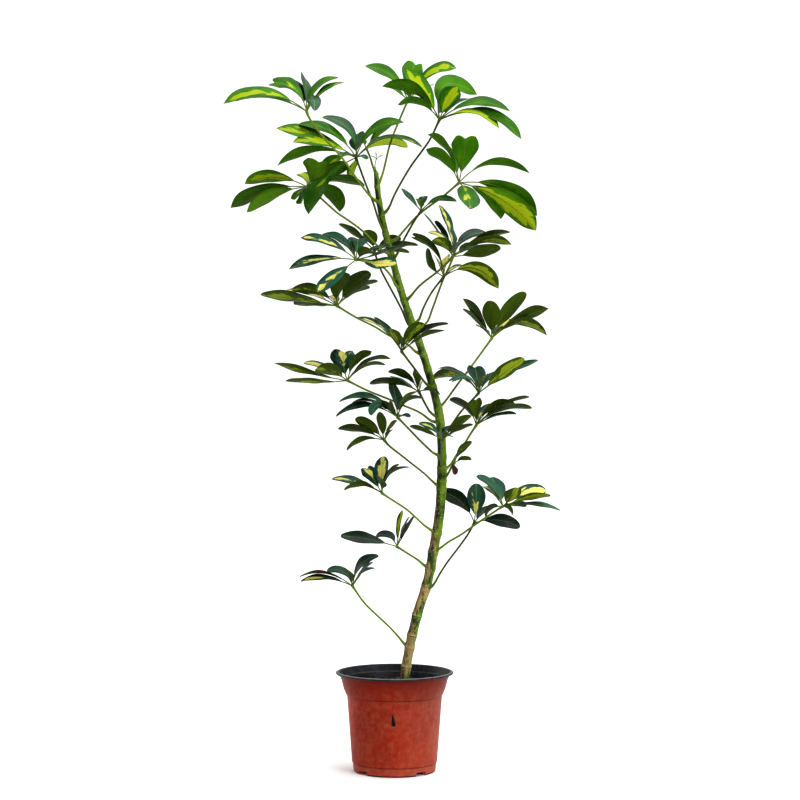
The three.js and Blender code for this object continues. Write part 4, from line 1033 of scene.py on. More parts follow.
@dataclass(frozen=True)
class LeafFace(Finish):
    """One face of a variegated leaf: waxy skin over green cells, with cells that never greened.

    The upper face is glossy and deep green, and the lower face duller and olive. Both show the same
    splashes, because those run through the blade. The margin ages first, and the wax thickens with
    age: a young blade has only a third of the gloss of an old one. On the upper face, an old blade's
    pale teal, on its margin too, is a painted sky sheen. Past 1, age is a blade that has gone nearly
    black, partly as painted shade. Spacings and sizes of patterns are in millimetres.
    """

    name: str
    mature: str
    mature_pale_and_sheen: str
    young: str
    young_light: str
    mature_splash: str
    young_splash: str
    rib: str
    deepest: str
    vein_strength: float
    roughness: float
    gloss_level: float
    bump: float
    withering: str = "#8C4A33"
    withered: str = "#421B15"
    refraction: float = 1.45
    vein_slant: float = 0.8
    vein_spacing: float = 4.5
    splash_long: float = 11
    splash_wide: float = 14
    young_gloss: float = 0.3

    def surface(self, tree: NodeTree) -> dict[str, Any]:
        """Builds green, splashes, veins and dry parts, and returns the finish by socket."""
        place, kind = (add_node(tree, "Attribute", attribute_name=name)["Vector"]
                       for name in ("blade_place", "blade_kind"))
        along, across, edge = add_node(tree, "SeparateXYZ", {0: place})
        seed, splash, whole_age = add_node(tree, "SeparateXYZ", {0: kind})
        rim = add_node(tree, "MapRange", {0: edge, 1: 0.6, 2: 1, 3: 0, 4: 0.45})[0]
        age = add_node(tree, "Math", {0: whole_age, 1: rim}, operation="ADD")[0]
        gone_dark = add_node(tree, "MapRange", {0: whole_age, 1: 1, 2: 2, 3: 0, 4: 1})[0]
        side = add_node(tree, "Math", {0: across}, operation="ABSOLUTE")[0]
        # Side veins leave the midrib at about 50 degrees and point to the tip
        slant = add_node(tree, "Math", {0: side, 1: -self.vein_slant, 2: along},
                         operation="MULTIPLY_ADD")[0]
        # Each leaflet reads the noise at a place of its own
        layer = add_node(tree, "Math", {0: seed, 1: 53}, operation="MULTIPLY")[0]
        spot = add_node(tree, "CombineXYZ", {0: along, 1: across, 2: layer})[0]
        tone = self.broad_tone(tree, spot, layer)
        cream = self.splashes(tree, slant, across, layer, splash, edge)
        # Both kinds of vein dull as the blade goes dark
        strength = add_node(tree, "MapRange", {0: gone_dark, 1: 0, 2: 1, 3: 1, 4: 0.2})[0]
        veins = self.veins(tree, slant, side)
        # The midrib, about 1 mm wide
        line = add_node(tree, "MapRange", {0: side, 1: 0.75, 2: 0.35, 3: 0, 4: 0.5})[0]
        shown, midrib = (add_node(tree, "Math", {0: mark, 1: strength}, operation="MULTIPLY")[0]
                         for mark in (veins, line))
        faint = add_node(tree, "Math", {0: shown, 1: self.vein_strength}, operation="MULTIPLY")[0]
        # The old colour's pale zones, teal on the upper face, are a painted sky sheen
        young, mature = (lay_over(tree, green, (Layer(tone, light),)) for green, light in (
            (self.young, self.young_light), (self.mature, self.mature_pale_and_sheen)))
        pale, full = (lay_over(tree, early, (Layer(age, late),)) for early, late in (
            (self.young_light, self.mature_pale_and_sheen), (self.young_splash, self.mature_splash)))
        colour = lay_over(tree, young, (
            Layer(age, mature),
            # Nearly black past age 1, partly age and partly painted shade
            Layer(gone_dark, self.deepest),
            Layer(cream, pale, (0.62, 0.68, 0.6)),
            Layer(cream, full, (0.765, 0.8, 1)),
            Layer(faint, self.rib),
            Layer(midrib, self.rib),
        ))
        height = add_node(tree, "Math", {0: midrib, 1: veins}, operation="ADD")[0]
        bump = add_node(tree, "Bump", {"Height": height, "Strength": self.bump, "Distance": 0.0006})
        gloss, wax = (
            add_node(tree, "MapRange", {0: value, 1: 0, 2: 1, 3: start, 4: full})[0]
            for value, start, full in (
                (tone, self.roughness - 0.04, self.roughness + 0.08),
                (age, self.gloss_level * self.young_gloss, self.gloss_level),
            )
        )
        return {"Base Color": self.wither(tree, colour, spot), "Roughness": gloss,
                "Normal": bump[0], "Specular IOR Level": wax, "IOR": self.refraction}

    def splashes(self, tree: NodeTree, slant: Any, across: Any, layer: Any, splash: Any,
                 edge: Any) -> NodeSocket:
        """Finds how cream a spot is, in patches of about 11 by 14 mm that run out along the side veins.

        Args:
            tree: The material's tree.
            slant: The distance along the side veins' run, in millimetres.
            across: The distance across the blade, in millimetres.
            layer: The leaflet's own place in the noise.
            splash: How cream the leaflet is, which adds to it.
            edge: How near the margin the spot is, which takes from it.

        Returns:
            The socket of the amount.
        """
        down, over = (add_node(tree, "Math", {0: way, 1: 1 / size}, operation="MULTIPLY")[0]
                      for way, size in ((slant, self.splash_long), (across, self.splash_wide)))
        spot = add_node(tree, "CombineXYZ", {0: down, 1: over, 2: layer})[0]
        amount = add_node(tree, "TexNoise", {"Vector": spot, "Scale": 1, "Detail": 4, "Roughness": 0.56})[0]
        outward = add_node(tree, "Math", {0: edge, 1: 1.6}, operation="POWER")[0]
        for value, times in ((outward, -0.45), (splash, 0.56)):
            amount = add_node(tree, "Math", {0: value, 1: times, 2: amount}, operation="MULTIPLY_ADD")[0]
        return amount

    def broad_tone(self, tree: NodeTree, spot: Any, layer: Any) -> NodeSocket:
        """Returns slow light and dark zones, about 20 mm across, that differ from leaflet to leaflet."""
        zones = add_node(tree, "TexNoise", {"Vector": spot, "Scale": 0.05, "Detail": 3,
                                            "Roughness": 0.55})[0]
        own = add_node(tree, "Math", {0: layer, 1: 1.7}, operation="SINE")[0]
        mixed = add_node(tree, "Math", {0: own, 1: 0.1, 2: zones}, operation="MULTIPLY_ADD")[0]
        return add_node(tree, "MapRange", {0: mixed, 1: 0.34, 2: 0.68, 3: 0, 4: 1})[0]

    def veins(self, tree: NodeTree, slant: Any, side: Any) -> NodeSocket:
        """Returns thin, evenly spaced side veins, which fade at the midrib."""
        turns = add_node(tree, "Math", {0: slant, 1: TURN / self.vein_spacing}, operation="MULTIPLY")
        wave = add_node(tree, "Math", {0: turns[0]}, operation="SINE")[0]
        line, start = (
            add_node(tree, "MapRange", {0: value, 1: none, 2: full, 3: 0, 4: 1})[0]
            for value, none, full in ((wave, 0.86, 1), (side, 0.3, 1.5))
        )
        return add_node(tree, "Math", {0: line, 1: start}, operation="MULTIPLY")[0]

    def wither(self, tree: NodeTree, colour: Any, spot: Any) -> NodeSocket:
        """Browns the dry parts of a blade, with a ragged margin: red-brown at first, then nearly black.

        Args:
            tree: The material's tree.
            colour: The colour of the live blade.
            spot: The place on the blade, in millimetres, and the leaflet's own place in the noise.

        Returns:
            The socket of the colour with the dry parts in it.
        """
        dry = add_node(tree, "Attribute", attribute_name="blade_dry")["Fac"]
        ragged = add_node(tree, "TexNoise", {"Vector": spot, "Scale": 0.25, "Detail": 3})[0]
        lean = add_node(tree, "Math", {0: ragged, 1: 0.7, 2: dry}, operation="MULTIPLY_ADD")[0]
        crisp = lay_over(tree, self.withered, (Layer(dry, self.withering, (0.85, 0.5, 1)),))
        return lay_over(tree, colour, (Layer(lean, crisp, (0.78, 0.86, 1)),))


# The upper face's old pale teal is a painted sky sheen
UPPER_FACE = LeafFace(
    "schefflera_leaf_upper_face", mature="#0F291A", mature_pale_and_sheen="#2C5C48", young="#285E06",
    young_light="#4B8210", mature_splash="#EEE478", young_splash="#A6BA10", rib="#7F9E3C",
    deepest="#08140B", vein_strength=0.1, roughness=0.36, gloss_level=0.16, bump=0.25,
)
LOWER_FACE = LeafFace(
    "schefflera_leaf_lower_face", mature="#2B3C0B", mature_pale_and_sheen="#4A6012", young="#437C0E",
    young_light="#649E1B", mature_splash="#9CAE26", young_splash="#B8CE22", rib="#6F8228",
    deepest="#131C06", vein_strength=0.09, roughness=0.55, gloss_level=0.1, bump=0.35,
)


@dataclass
class NurseryPot:
    """The spun pot: foot ring, tapered wall, stepped collar and rolled lip, in millimetres."""

    floor_top: float = 6.4
    floor_underside: float = 4.2
    floor_radius: float = 51
    foot_radius: float = 52
    foot_inner: float = 47
    foot_edge: float = 1.7
    pad_radius: float = 14
    lip_bottom: float = 123.2
    inside_radius: float = 72
    spin_steps: int = 96
    corner: float = 0.8
    sharp_angle: float = 38
    notch_depth: float = 16
    notch_width: float = 15
    notch_height: float = 4.6
    notch_angles: tuple[float, ...] = (-140, -50, 40, 130)
    hole_radius: float = 4.5
    hole_ring: float = 34
    hole_count: int = 8
    hole_sides: int = 28
    hole_middle: float = 5.5
    hole_depth: float = 9

    def outer_wall(self) -> list[tuple[float, float]]:
        """Returns radius and height down the outside, from the lip to the foot."""
        return [(75, 125.2), (74.8, 123.1), (70.9, 122.5), (67.7, 115.6), (64.9, 104.6), (61.8, 97),
                (60.6, 95.5), (54.2, 11.5), (53.2, 10.5), (52.2, self.foot_edge), (self.foot_radius, 0)]

    def inner_wall(self) -> list[tuple[float, float]]:
        """Returns radius and height up the inside, from the floor to the lip."""
        return [(50.4, self.floor_top), (52.4, 12), (59.1, 96.4), (63.2, 105.2), (65.6, 116.2),
                (67.6, 117.4), (71.4, 126.2)]

    def underside(self) -> list[tuple[float, float]]:
        """Returns radius and height under the pot, from the foot ring to the axis."""
        return [(self.foot_inner, 0), (45, self.floor_underside), (16, self.floor_underside),
                (self.pad_radius, 0)]

    def build(self) -> None:
        """Spins the profile, cuts the notches and drain holes and dresses the pot."""
        bm = bmesh.new()
        corners = [*self.inner_wall(), *self.outer_wall(), *self.underside()]
        verts = [bm.verts.new((r * MM, 0, z * MM)) for r, z in corners]
        top = bm.verts.new((0, 0, self.floor_top * MM))
        foot = bm.verts.new((0, 0, 0))
        chain = [top, *verts, foot]
        for start, end in zip(chain, chain[1:]):
            bm.edges.new((start, end))
        bmesh.ops.bevel(bm, geom=verts, offset=self.corner * MM, offset_type="OFFSET", segments=3,
                        profile=0.5, affect="VERTICES", clamp_overlap=True, material=-1)
        spin_round(bm, self.spin_steps)
        bm.normal_update()
        for face in bm.faces:
            face.material_index = int(self.is_black(face))
        piece = settle_piece(bm, "pot_dressed", [NurseryPlastic().dress(), BlackPlastic().dress()],
                             Slot.POT)
        self.cut(piece)
        for polygon in piece.data.polygons:
            polygon.use_smooth = True
        piece.data.set_sharp_from_angle(angle=math.radians(self.sharp_angle))

    def is_black(self, face: BMFace) -> bool:
        """Says whether a face is black: lip, inside, and the underside and foot's lowest edge as painted
        shadow.
        """
        middle = face.calc_center_median() / MM
        radius = math.hypot(middle.x, middle.y)
        outward = face.normal.x * middle.x + face.normal.y * middle.y
        is_lip = middle.z > self.lip_bottom
        is_inside = middle.z > self.floor_top - 0.5 and outward < 0 and radius < self.inside_radius
        is_level = abs(middle.z - self.floor_top) < 0.6 and face.normal.z > 0.5
        is_floor = is_level and radius < self.floor_radius
        # The underside inside the foot ring is black as painted shadow
        is_shadowed_underside = middle.z < self.floor_underside + self.corner and radius < self.foot_inner + 0.3
        # The foot's lowest 1.7 mm is black as a painted contact shadow
        return is_lip or is_inside or is_floor or is_shadowed_underside or middle.z < self.foot_edge

    def cut(self, piece: Object) -> None:
        """Cuts the foot notches and the drain holes.

        Args:
            piece: The pot, whose mesh is replaced by the cut one.
        """
        bm = bmesh.new()
        for angle in self.notch_angles:
            turn = Matrix.Rotation(math.radians(angle), 4, "Z")
            place = turn @ Matrix.Translation((self.foot_radius * MM, 0, 0))
            size = Matrix.Diagonal((self.notch_depth * MM, self.notch_width * MM,
                                    2 * self.notch_height * MM, 1))
            bmesh.ops.create_cube(bm, size=1, matrix=place @ size)
        for hole in range(self.hole_count):
            turn = Matrix.Rotation(TURN * (hole + 0.5) / self.hole_count, 4, "Z")
            place = turn @ Matrix.Translation((self.hole_ring * MM, 0, self.hole_middle * MM))
            bmesh.ops.create_cone(bm, cap_ends=True, segments=self.hole_sides,
                                  radius1=self.hole_radius * MM, radius2=self.hole_radius * MM,
                                  depth=self.hole_depth * MM, matrix=place)
        cutters = add_mesh(bm, "pot_cutters")
        modifier = piece.modifiers.new("cut", "BOOLEAN")
        modifier.operation = "DIFFERENCE"
        modifier.solver = "EXACT"
        modifier.object = cutters
        graph = bpy.context.evaluated_depsgraph_get()
        spare = (piece.data, cutters.data)
        piece.data = bpy.data.meshes.new_from_object(piece.evaluated_get(graph))
        piece.data.name = "pot_dressed"
        piece.modifiers.clear()
        bpy.data.objects.remove(cutters)
        for mesh in spare:
            bpy.data.meshes.remove(mesh)


@dataclass
class Soil:
    """The root ball's potting mix, with loose crumbs on its top, in millimetres."""

    level: float = 110
    profile: tuple[tuple[float, float], ...] = ((0, 6.7), (49.4, 6.7), (58, 96.6), (62.7, 107.5))
    top_edge: tuple[float, float] = (61.5, 109.6)
    top_rings: int = 13
    lump: float = 1.6
    lump_width: float = 7
    lump_length: float = 9
    rough: float = 1.5
    rough_width: float = 5
    spin_steps: int = 72
    crumbs: int = 420
    crumb_ring: float = 60
    crumb_radius: tuple[float, float] = (0.6, 1.9)
    big_crumbs: float = 0.12
    big_growth: float = 1.5

    def build(self) -> None:
        """Spins the mix, roughens its top and strews the crumbs."""
        draw = random.Random(SEED)
        bm = bmesh.new()
        radius, height = self.top_edge
        top = [(radius * (1 - i / self.top_rings), self.level if i else height)
               for i in range(self.top_rings + 1)]
        verts = [bm.verts.new((r * MM, 0, z * MM)) for r, z in [*self.profile, *top]]
        for start, end in zip(verts, verts[1:]):
            bm.edges.new((start, end))
        spin_round(bm, self.spin_steps)
        for vert in bm.verts:
            if vert.co.z > (self.level - 1) * MM:
                vert.co.z += self.rise(vert.co.x / MM, vert.co.y / MM) * MM
        for _ in range(self.crumbs):
            self.strew(bm, draw)
        settle_piece(bm, "soil_dressed", [PottingMix().dress()], Slot.SOIL)

    def rise(self, x: float, y: float) -> float:
        """Returns how far the top stands above its level at a place."""
        swell = self.lump * math.sin(x / self.lump_width) * math.cos(y / self.lump_length)
        return swell + self.rough * noise.noise(Vector((x / self.rough_width, y / self.rough_width, 3.1)))

    def strew(self, bm: BMesh, draw: random.Random) -> None:
        """Adds one crumb, flattened and half sunk."""
        radius = self.crumb_ring * math.sqrt(draw.random())
        angle = TURN * draw.random()
        x, y = radius * math.cos(angle), radius * math.sin(angle)
        size = draw.uniform(*self.crumb_radius)
        size *= self.big_growth if draw.random() < self.big_crumbs else 1
        lift = self.level + self.rise(x, y) + 0.2 * size
        turn = Matrix.Rotation(TURN * draw.random(), 4, Vector((draw.random(), draw.random(), 1)))
        shape = Matrix.Diagonal((1, draw.uniform(0.55, 1), draw.uniform(0.45, 0.9), 1))
        place = Matrix.Translation(Vector((x, y, lift)) * MM)
        bmesh.ops.create_icosphere(bm, subdivisions=1, radius=size * MM, matrix=place @ turn @ shape)


@dataclass
class Stem:
    """The main stem, in millimetres: a leaning line with a ring scar where it bears or bore a leaf.

    places run up the front view, with their depth. radii and cork are read by height, and cork is
    how far the skin has turned to it.
    """

    places: tuple[tuple[float, float, float], ...] = (
        (11.5, 50, 0), (13, 118, 0), (28.5, 197, 1), (41, 236, 2), (50, 282, 2), (57.7, 330, 1),
        (60.4, 385, 0), (59, 434, -2), (56, 457, -2), (47.6, 491, -1), (36, 531, 0), (23, 567, 1),
        (9, 608, 2), (-1, 643, 2), (-11.6, 684, 1), (-20, 726, 0), (-24, 765, 0),
    )
    radii: tuple[tuple[float, float], ...] = (
        (50, 6), (118, 6.1), (330, 6.3), (430, 5.5), (530, 4.8), (660, 4.3), (750, 3.5), (765, 2.4),
    )
    cork: tuple[tuple[float, float], ...] = (
        (120, 0.44), (127, 0.64), (158, 0.62), (170, 0.45), (176, 0.36), (194, 0.36), (199, 0.52),
        (228, 0.56), (236, 0.42), (256, 0.4), (285, 0.46), (330, 0.38), (380, 0.2), (500, 0.1),
    )
    old_scars: tuple[float, ...] = (132, 172, 197, 235, 258, 279, 511, 545, 584, 629)
    clearest_scars: tuple[float, ...] = (132, 172, 197)
    faint_scar: float = 0.62
    scar_parts: tuple[int, ...] = (-3, -2, -1, 0, 1)
    scar_step: float = 0.8
    node_reach: float = 3.5
    node_swell: float = 0.12
    ring_swell: float = 0.04
    knobs: tuple[tuple[float, float], ...] = ((0.36, 11), (0.16, 3))
    knob_reach: float = 9
    green_from: float = 330
    green_over: float = 60
    sides: int = 24
    step: float = 3
    end_radius: float = 0.01
    line: Spline = field(init=False)
    scars: list[float] = field(init=False)

    def __post_init__(self) -> None:
        """Fits the stem's line and lists all its ring scars, old and leaf-bearing, by height."""
        self.line = Spline([from_front_view(*place) for place in self.places])
        self.scars = sorted([*self.old_scars, *(plan.node for plan in LEAVES)])

    def share_at(self, height: float) -> float:
        """Returns the share of the stem's length at which it reaches a height."""
        low, high = 0.0, 1.0
        for _ in range(30):
            middle = (low + high) / 2
            if self.line.at(middle).z < height:
                low = middle
            else:
                high = middle
        return low

    def at(self, height: float) -> Vector:
        """Returns the middle of the stem at a height."""
        return self.line.at(self.share_at(height))

    def heights(self) -> list[float]:
        """Returns the heights of the rings: evenly spaced, and some close ones at each scar."""
        bottom, top = self.places[0][1], self.places[-1][1]
        count = int((top - bottom) / self.step)
        even = [bottom + (top - bottom) * i / count for i in range(count)]
        clear = [h for h in even if all(abs(h - scar) > self.scar_step * 4 for scar in self.scars)]
        close = [scar + part * self.scar_step for scar in self.scars for part in self.scar_parts]
        return sorted({round(h, 2) for h in [*clear, *close, top]})

    def near_node(self, height: float) -> float:
        """Returns 1 at a place that bears or bore a leaf, and 0 some 8 mm from all of them."""
        return math.exp(-(min(abs(height - scar) for scar in self.scars) / self.node_reach) ** 2)

    def ring_mark(self, height: float) -> float:
        """Returns up to 1 on a scar's ridge and down to -1 in the groove under it."""
        off, scar = min(((height - scar, scar) for scar in self.scars), key=lambda pair: abs(pair[0]))
        strength = 1 if scar in self.clearest_scars else self.faint_scar
        ridge = clamp(1 - abs(off) / self.scar_step)
        groove = clamp(1 - abs(off + 2 * self.scar_step) / self.scar_step)
        return strength * (ridge - groove)

    def radius_at(self, height: float, middle: Vector, out: Vector) -> float:
        """Returns the radius on one side of a ring.

        Args:
            height: The ring's height.
            middle: Its middle.
            out: The way to that side.

        Returns:
            The radius there, with its swell and knobs.
        """
        radius = read_off(self.radii, height)
        radius *= 1 + self.node_swell * self.near_node(height) + self.ring_swell * self.ring_mark(height)
        spot = middle + out * self.knob_reach
        return radius + sum(rise * noise.noise(spot / width) for rise, width in self.knobs)

    def build(self, finish: Material) -> None:
        """Grows the stem ring by ring and dresses it."""
        heights = self.heights()
        shares = [self.share_at(height) for height in heights]
        bm = bmesh.new()
        layer = bm.verts.layers.float_vector.new("bark")
        last = len(heights) - 1

        def place(round_share: float, up_share: float) -> Vector:
            """Returns the place on the stem's skin, closed at both ends."""
            ring = round(up_share * last)
            along = self.line.along(shares[ring])
            side = (Vector((1, 0, 0)) - along * along.x).normalized()
            angle = TURN * round_share
            out = side * math.cos(angle) + along.cross(side) * math.sin(angle)
            middle = self.line.at(shares[ring])
            radius = self.end_radius if ring in (0, last) else self.radius_at(heights[ring], middle, out)
            return middle + out * radius

        width = self.sides + 1
        for index, vert in enumerate(grow_sheet(bm, self.sides, last, place)):
            height = heights[index // width]
            angle = TURN * index / width
            turned = Vector((math.cos(angle), math.sin(angle), height / 9))
            broken = 0.5 + 0.5 * ease(-0.25, 0.15, noise.noise(turned * 1.4))
            green = clamp((height - self.green_from) / self.green_over, 0.2)
            vert[layer] = (read_off(self.cork, height), self.ring_mark(height) * broken,
                           self.near_node(height) * green)
        bmesh.ops.remove_doubles(bm, verts=bm.verts, dist=4e-5)
        bmesh.ops.recalc_face_normals(bm, faces=bm.faces)
        settle_piece(bm, "trunk_dressed", [finish], Slot.BARK)


class LeafSkin(Enum):
    """Which of a leaf's finishes a face has."""

    UPPER = 0
    LOWER = 1
    STALK = 2


@dataclass(frozen=True)
class Outline:
    """How a blade swells from its foot to its tip: a sine wave, raised to a power.

    lag moves the widest place towards the tip, part is how much of half a wave the blade takes, and
    the power changes on the way to the tip, and later the higher its order.
    """

    lag: float
    part: float
    power: float
    change: float
    order: float

    def swell(self, grown: float) -> float:
        """Returns the width, from 0 to 1, at a share of the way from the blade's foot to its tip."""
        wave = max(math.sin(math.pi * grown ** self.lag * self.part), 0)
        return wave ** (self.power + self.change * grown ** self.order)


OUTLINES = {
    Tip.PLAIN: Outline(lag=1.25, part=1, power=0.66, change=-0.18, order=1),
    Tip.POINTED: Outline(lag=1.5, part=1, power=0.5, change=0.42, order=6),
    Tip.NOTCHED: Outline(lag=1.3, part=0.67, power=0.8, change=0, order=1),
}


@dataclass
class Blade:
    """One leaflet's blade and its own short stalk, in millimetres.

    A share is of the way from the hub to the tip. over is the place across the blade, from -1 at
    one margin to 1 at the other.
    """

    plan: LeafPlan
    leaflet: Leaflet
    seed: float
    width_to_reach: float = 0.29
    least_width: float = 0.35
    usual_size: float = 0.85
    rise: float = 0.07
    via_range: tuple[float, float] = (0.35, 0.65)
    start: float = 0.2
    evenness: float = 0.35
    half_thickness: float = 0.45
    keel: float = 0.16
    waves: float = 1.9
    wave_side: float = 0.6
    wave_rise: float = 0.09
    curl: float = 0.03
    dry_through: float = 0.8
    dry_spot: float = 0.6
    dry_reach: float = 0.16
    notch: float = 0.07
    notch_sway: float = 0.4
    shoulder: float = 0.12
    crest: float = 0.5
    columns: int = 8
    notched_columns: int = 24
    rows: int = 22
    oldest_hub: float = 655
    youngest_hub: float = 745

    def __post_init__(self) -> None:
        """Works out the midrib, the half width and the age from the front view."""
        hub_x, hub_height, hub_depth = self.plan.hub
        tip_x, tip_height = self.leaflet.tip
        seen = math.hypot(tip_x - hub_x, tip_height - hub_height)
        whole = max(self.plan.reach * self.leaflet.size, seen)
        tip_depth = hub_depth + self.leaflet.lean * math.sqrt(whole ** 2 - seen ** 2)
        self.hub = from_front_view(hub_x, hub_height, hub_depth)
        self.tip = from_front_view(tip_x, tip_height, tip_depth)
        self.bend = (self.hub + self.tip) / 2
        self.bend.z += 2 * self.rise * (self.tip - self.hub).length
        if self.leaflet.via:
            control = self.arch_control()
            self.bend = from_front_view(control.x, control.y, (hub_depth + tip_depth) / 2)
        ratio = math.sqrt(self.leaflet.size / self.usual_size)
        self.half_width = self.plan.reach * self.width_to_reach * self.leaflet.wide * ratio / 2
        self.length = (self.bend - self.hub).length * 0.5 + (self.tip - self.bend).length * 0.5
        self.rightward = -1 if tip_x < hub_x else 1
        below = (self.youngest_hub - hub_height) / (self.youngest_hub - self.oldest_hub)
        self.age = clamp(below) + self.leaflet.age_shade_and_sheen
        self.is_notched = self.leaflet.end is Tip.NOTCHED

    def arch_control(self) -> Vector:
        """Returns the control point, in the front view, that takes the arch past the leaflet's via."""
        start, end = Vector(self.plan.hub[:2]), Vector(self.leaflet.tip)
        via = Vector(self.leaflet.via)
        chord = end - start
        share = clamp((via - start).dot(chord) / chord.length_squared, *self.via_range)
        rest = via - start * (1 - share) ** 2 - end * share ** 2
        return rest / (2 * share * (1 - share))

    def midrib(self, share: float) -> Vector:
        """Returns the midrib's place at a share."""
        left = 1 - share
        return self.hub * left ** 2 + self.bend * (2 * left * share) + self.tip * share ** 2

    def frame_at(self, share: float) -> tuple[Vector, Vector]:
        """Returns the way across the blade and the way its upper face looks, at a share."""
        along = ((self.bend - self.hub) * (1 - share) + (self.tip - self.bend) * share).normalized()
        facing = Vector((0, -1, 0))
        facing = (facing - along * facing.dot(along)).normalized()
        rising = Vector((-along.z, 0, along.x)).normalized() * self.rightward
        show = self.leaflet.show
        upper = facing * show + rising * math.sqrt(1 - show * show)
        upper = (upper - along * upper.dot(along)).normalized()
        return upper.cross(along), upper

    def share_of(self, along_share: float) -> float:
        """Returns the share at which a row of the grid lies: rows crowd at the foot and the tip."""
        eased = 0.5 - 0.5 * math.cos(math.pi * along_share)
        spread = self.evenness * along_share + (1 - self.evenness) * eased
        return self.start + (1 - self.start) * spread

    def width_at(self, share: float) -> float:
        """Returns the half width at a share."""
        grown = clamp((share - self.start) / (1 - self.start))
        return max(self.half_width * OUTLINES[self.leaflet.end].swell(grown), self.least_width)

    def lift_at(self, over: float, share: float, reach: float) -> float:
        """Returns how far the blade rises at a place across it: its keel and the waves of its margins."""
        side = self.wave_side if over > 0 else -self.wave_side
        swing = math.sin(TURN * (share * self.waves + self.seed)) * side
        wave = self.wave_rise * swing * over * over * reach * ease(0.25, 0.5, share)
        return self.keel * reach * abs(over) ** 1.3 + wave

    def body_at(self, over: float, share: float) -> float:
        """Returns half the thickness at a place across the blade: thin at the margins and the tip."""
        thin = ease(-0.2, 0.35, 1.02 - share)
        return self.half_thickness * math.sqrt(max(1 - over ** 4, 0)) * thin

    def dryness_at(self, share: float) -> float:
        """Returns how far the blade has withered at a share: all of it, or one spot past its middle."""
        if self.leaflet.dry > self.dry_through:
            return self.leaflet.dry
        return self.leaflet.dry * math.exp(-((share - self.dry_spot) / self.dry_reach) ** 2)

    def pull_back(self, over: float, share: float) -> float:
        """Returns how far a spot near a notched tip lies back of its station."""
        if not self.is_notched:
            return 0
        middle = (self.seed - 0.5) * self.notch_sway
        side = abs(over - middle) / (1 - middle if over > middle else 1 + middle)
        dip = self.notch * clamp(1 - side / self.crest) ** 2
        outward = clamp((side - self.crest) / (1 - self.crest))
        shoulder = self.shoulder * (1 - math.sqrt(1 - outward ** 2))
        return ease(0.55, 1, share) * (dip + shoulder)

    def grow(self, bm: BMesh, layers: dict[str, Any]) -> None:
        """Adds the blade: a closed, thin, keeled body with an upper and a lower face.

        Args:
            bm: The leaf's mesh.
            layers: Its attribute layers, by name.
        """
        columns = self.notched_columns if self.is_notched else self.columns
        made = bmesh.ops.create_grid(bm, x_segments=columns, y_segments=self.rows, size=0.5)["verts"]
        for face in faces_of(made):
            is_upper = face.calc_center_median().x < 0
            face.material_index = (LeafSkin.UPPER if is_upper else LeafSkin.LOWER).value
        for edge in {edge for vert in made for edge in vert.link_edges}:
            ends = [vert.co.x for vert in edge.verts]
            if abs(ends[0] - ends[1]) < 1e-6 and min(abs(ends[0]), 0.5 - abs(ends[0])) < 1e-6:
                edge.smooth = False
        for vert in made:
            self.settle(vert, layers)
        bmesh.ops.remove_doubles(bm, verts=made, dist=2e-5)

    def settle(self, vert: BMVert, layers: dict[str, Any]) -> None:
        """Moves a vertex of the grid to its place on the blade, and notes that place in its layers.

        Args:
            vert: The vertex. The grid's left half is the upper face and its right half the lower.
            layers: The mesh's attribute layers, by name.
        """
        round_share, along_share = vert.co.x + 0.5, vert.co.y + 0.5
        is_upper = round_share <= 0.5
        raw = round_share * 4 - 1 if is_upper else 3 - round_share * 4
        over = math.copysign(abs(raw) ** 1.2, raw)
        share = self.share_of(along_share)
        across, upper = self.frame_at(share)
        reach = self.width_at(share)
        is_end = min(along_share, 1 - along_share) < 0.001
        body = 0 if is_end else self.body_at(over, share)
        skin = body if is_upper else -body
        curl = self.curl * self.length * (self.seed * 2 - 1.2) * ease(0.7, 1.1, share)
        rise = self.lift_at(over, share, reach) + skin + curl
        middle = self.midrib(share - self.pull_back(over, share))
        vert.co = (middle + across * (over * reach) + upper * rise) * MM
        vert[layers["place"]] = (share * self.length, over * reach, abs(over))
        vert[layers["kind"]] = (self.seed, self.leaflet.splash, self.age)
        vert[layers["dry"]] = self.dryness_at(share)


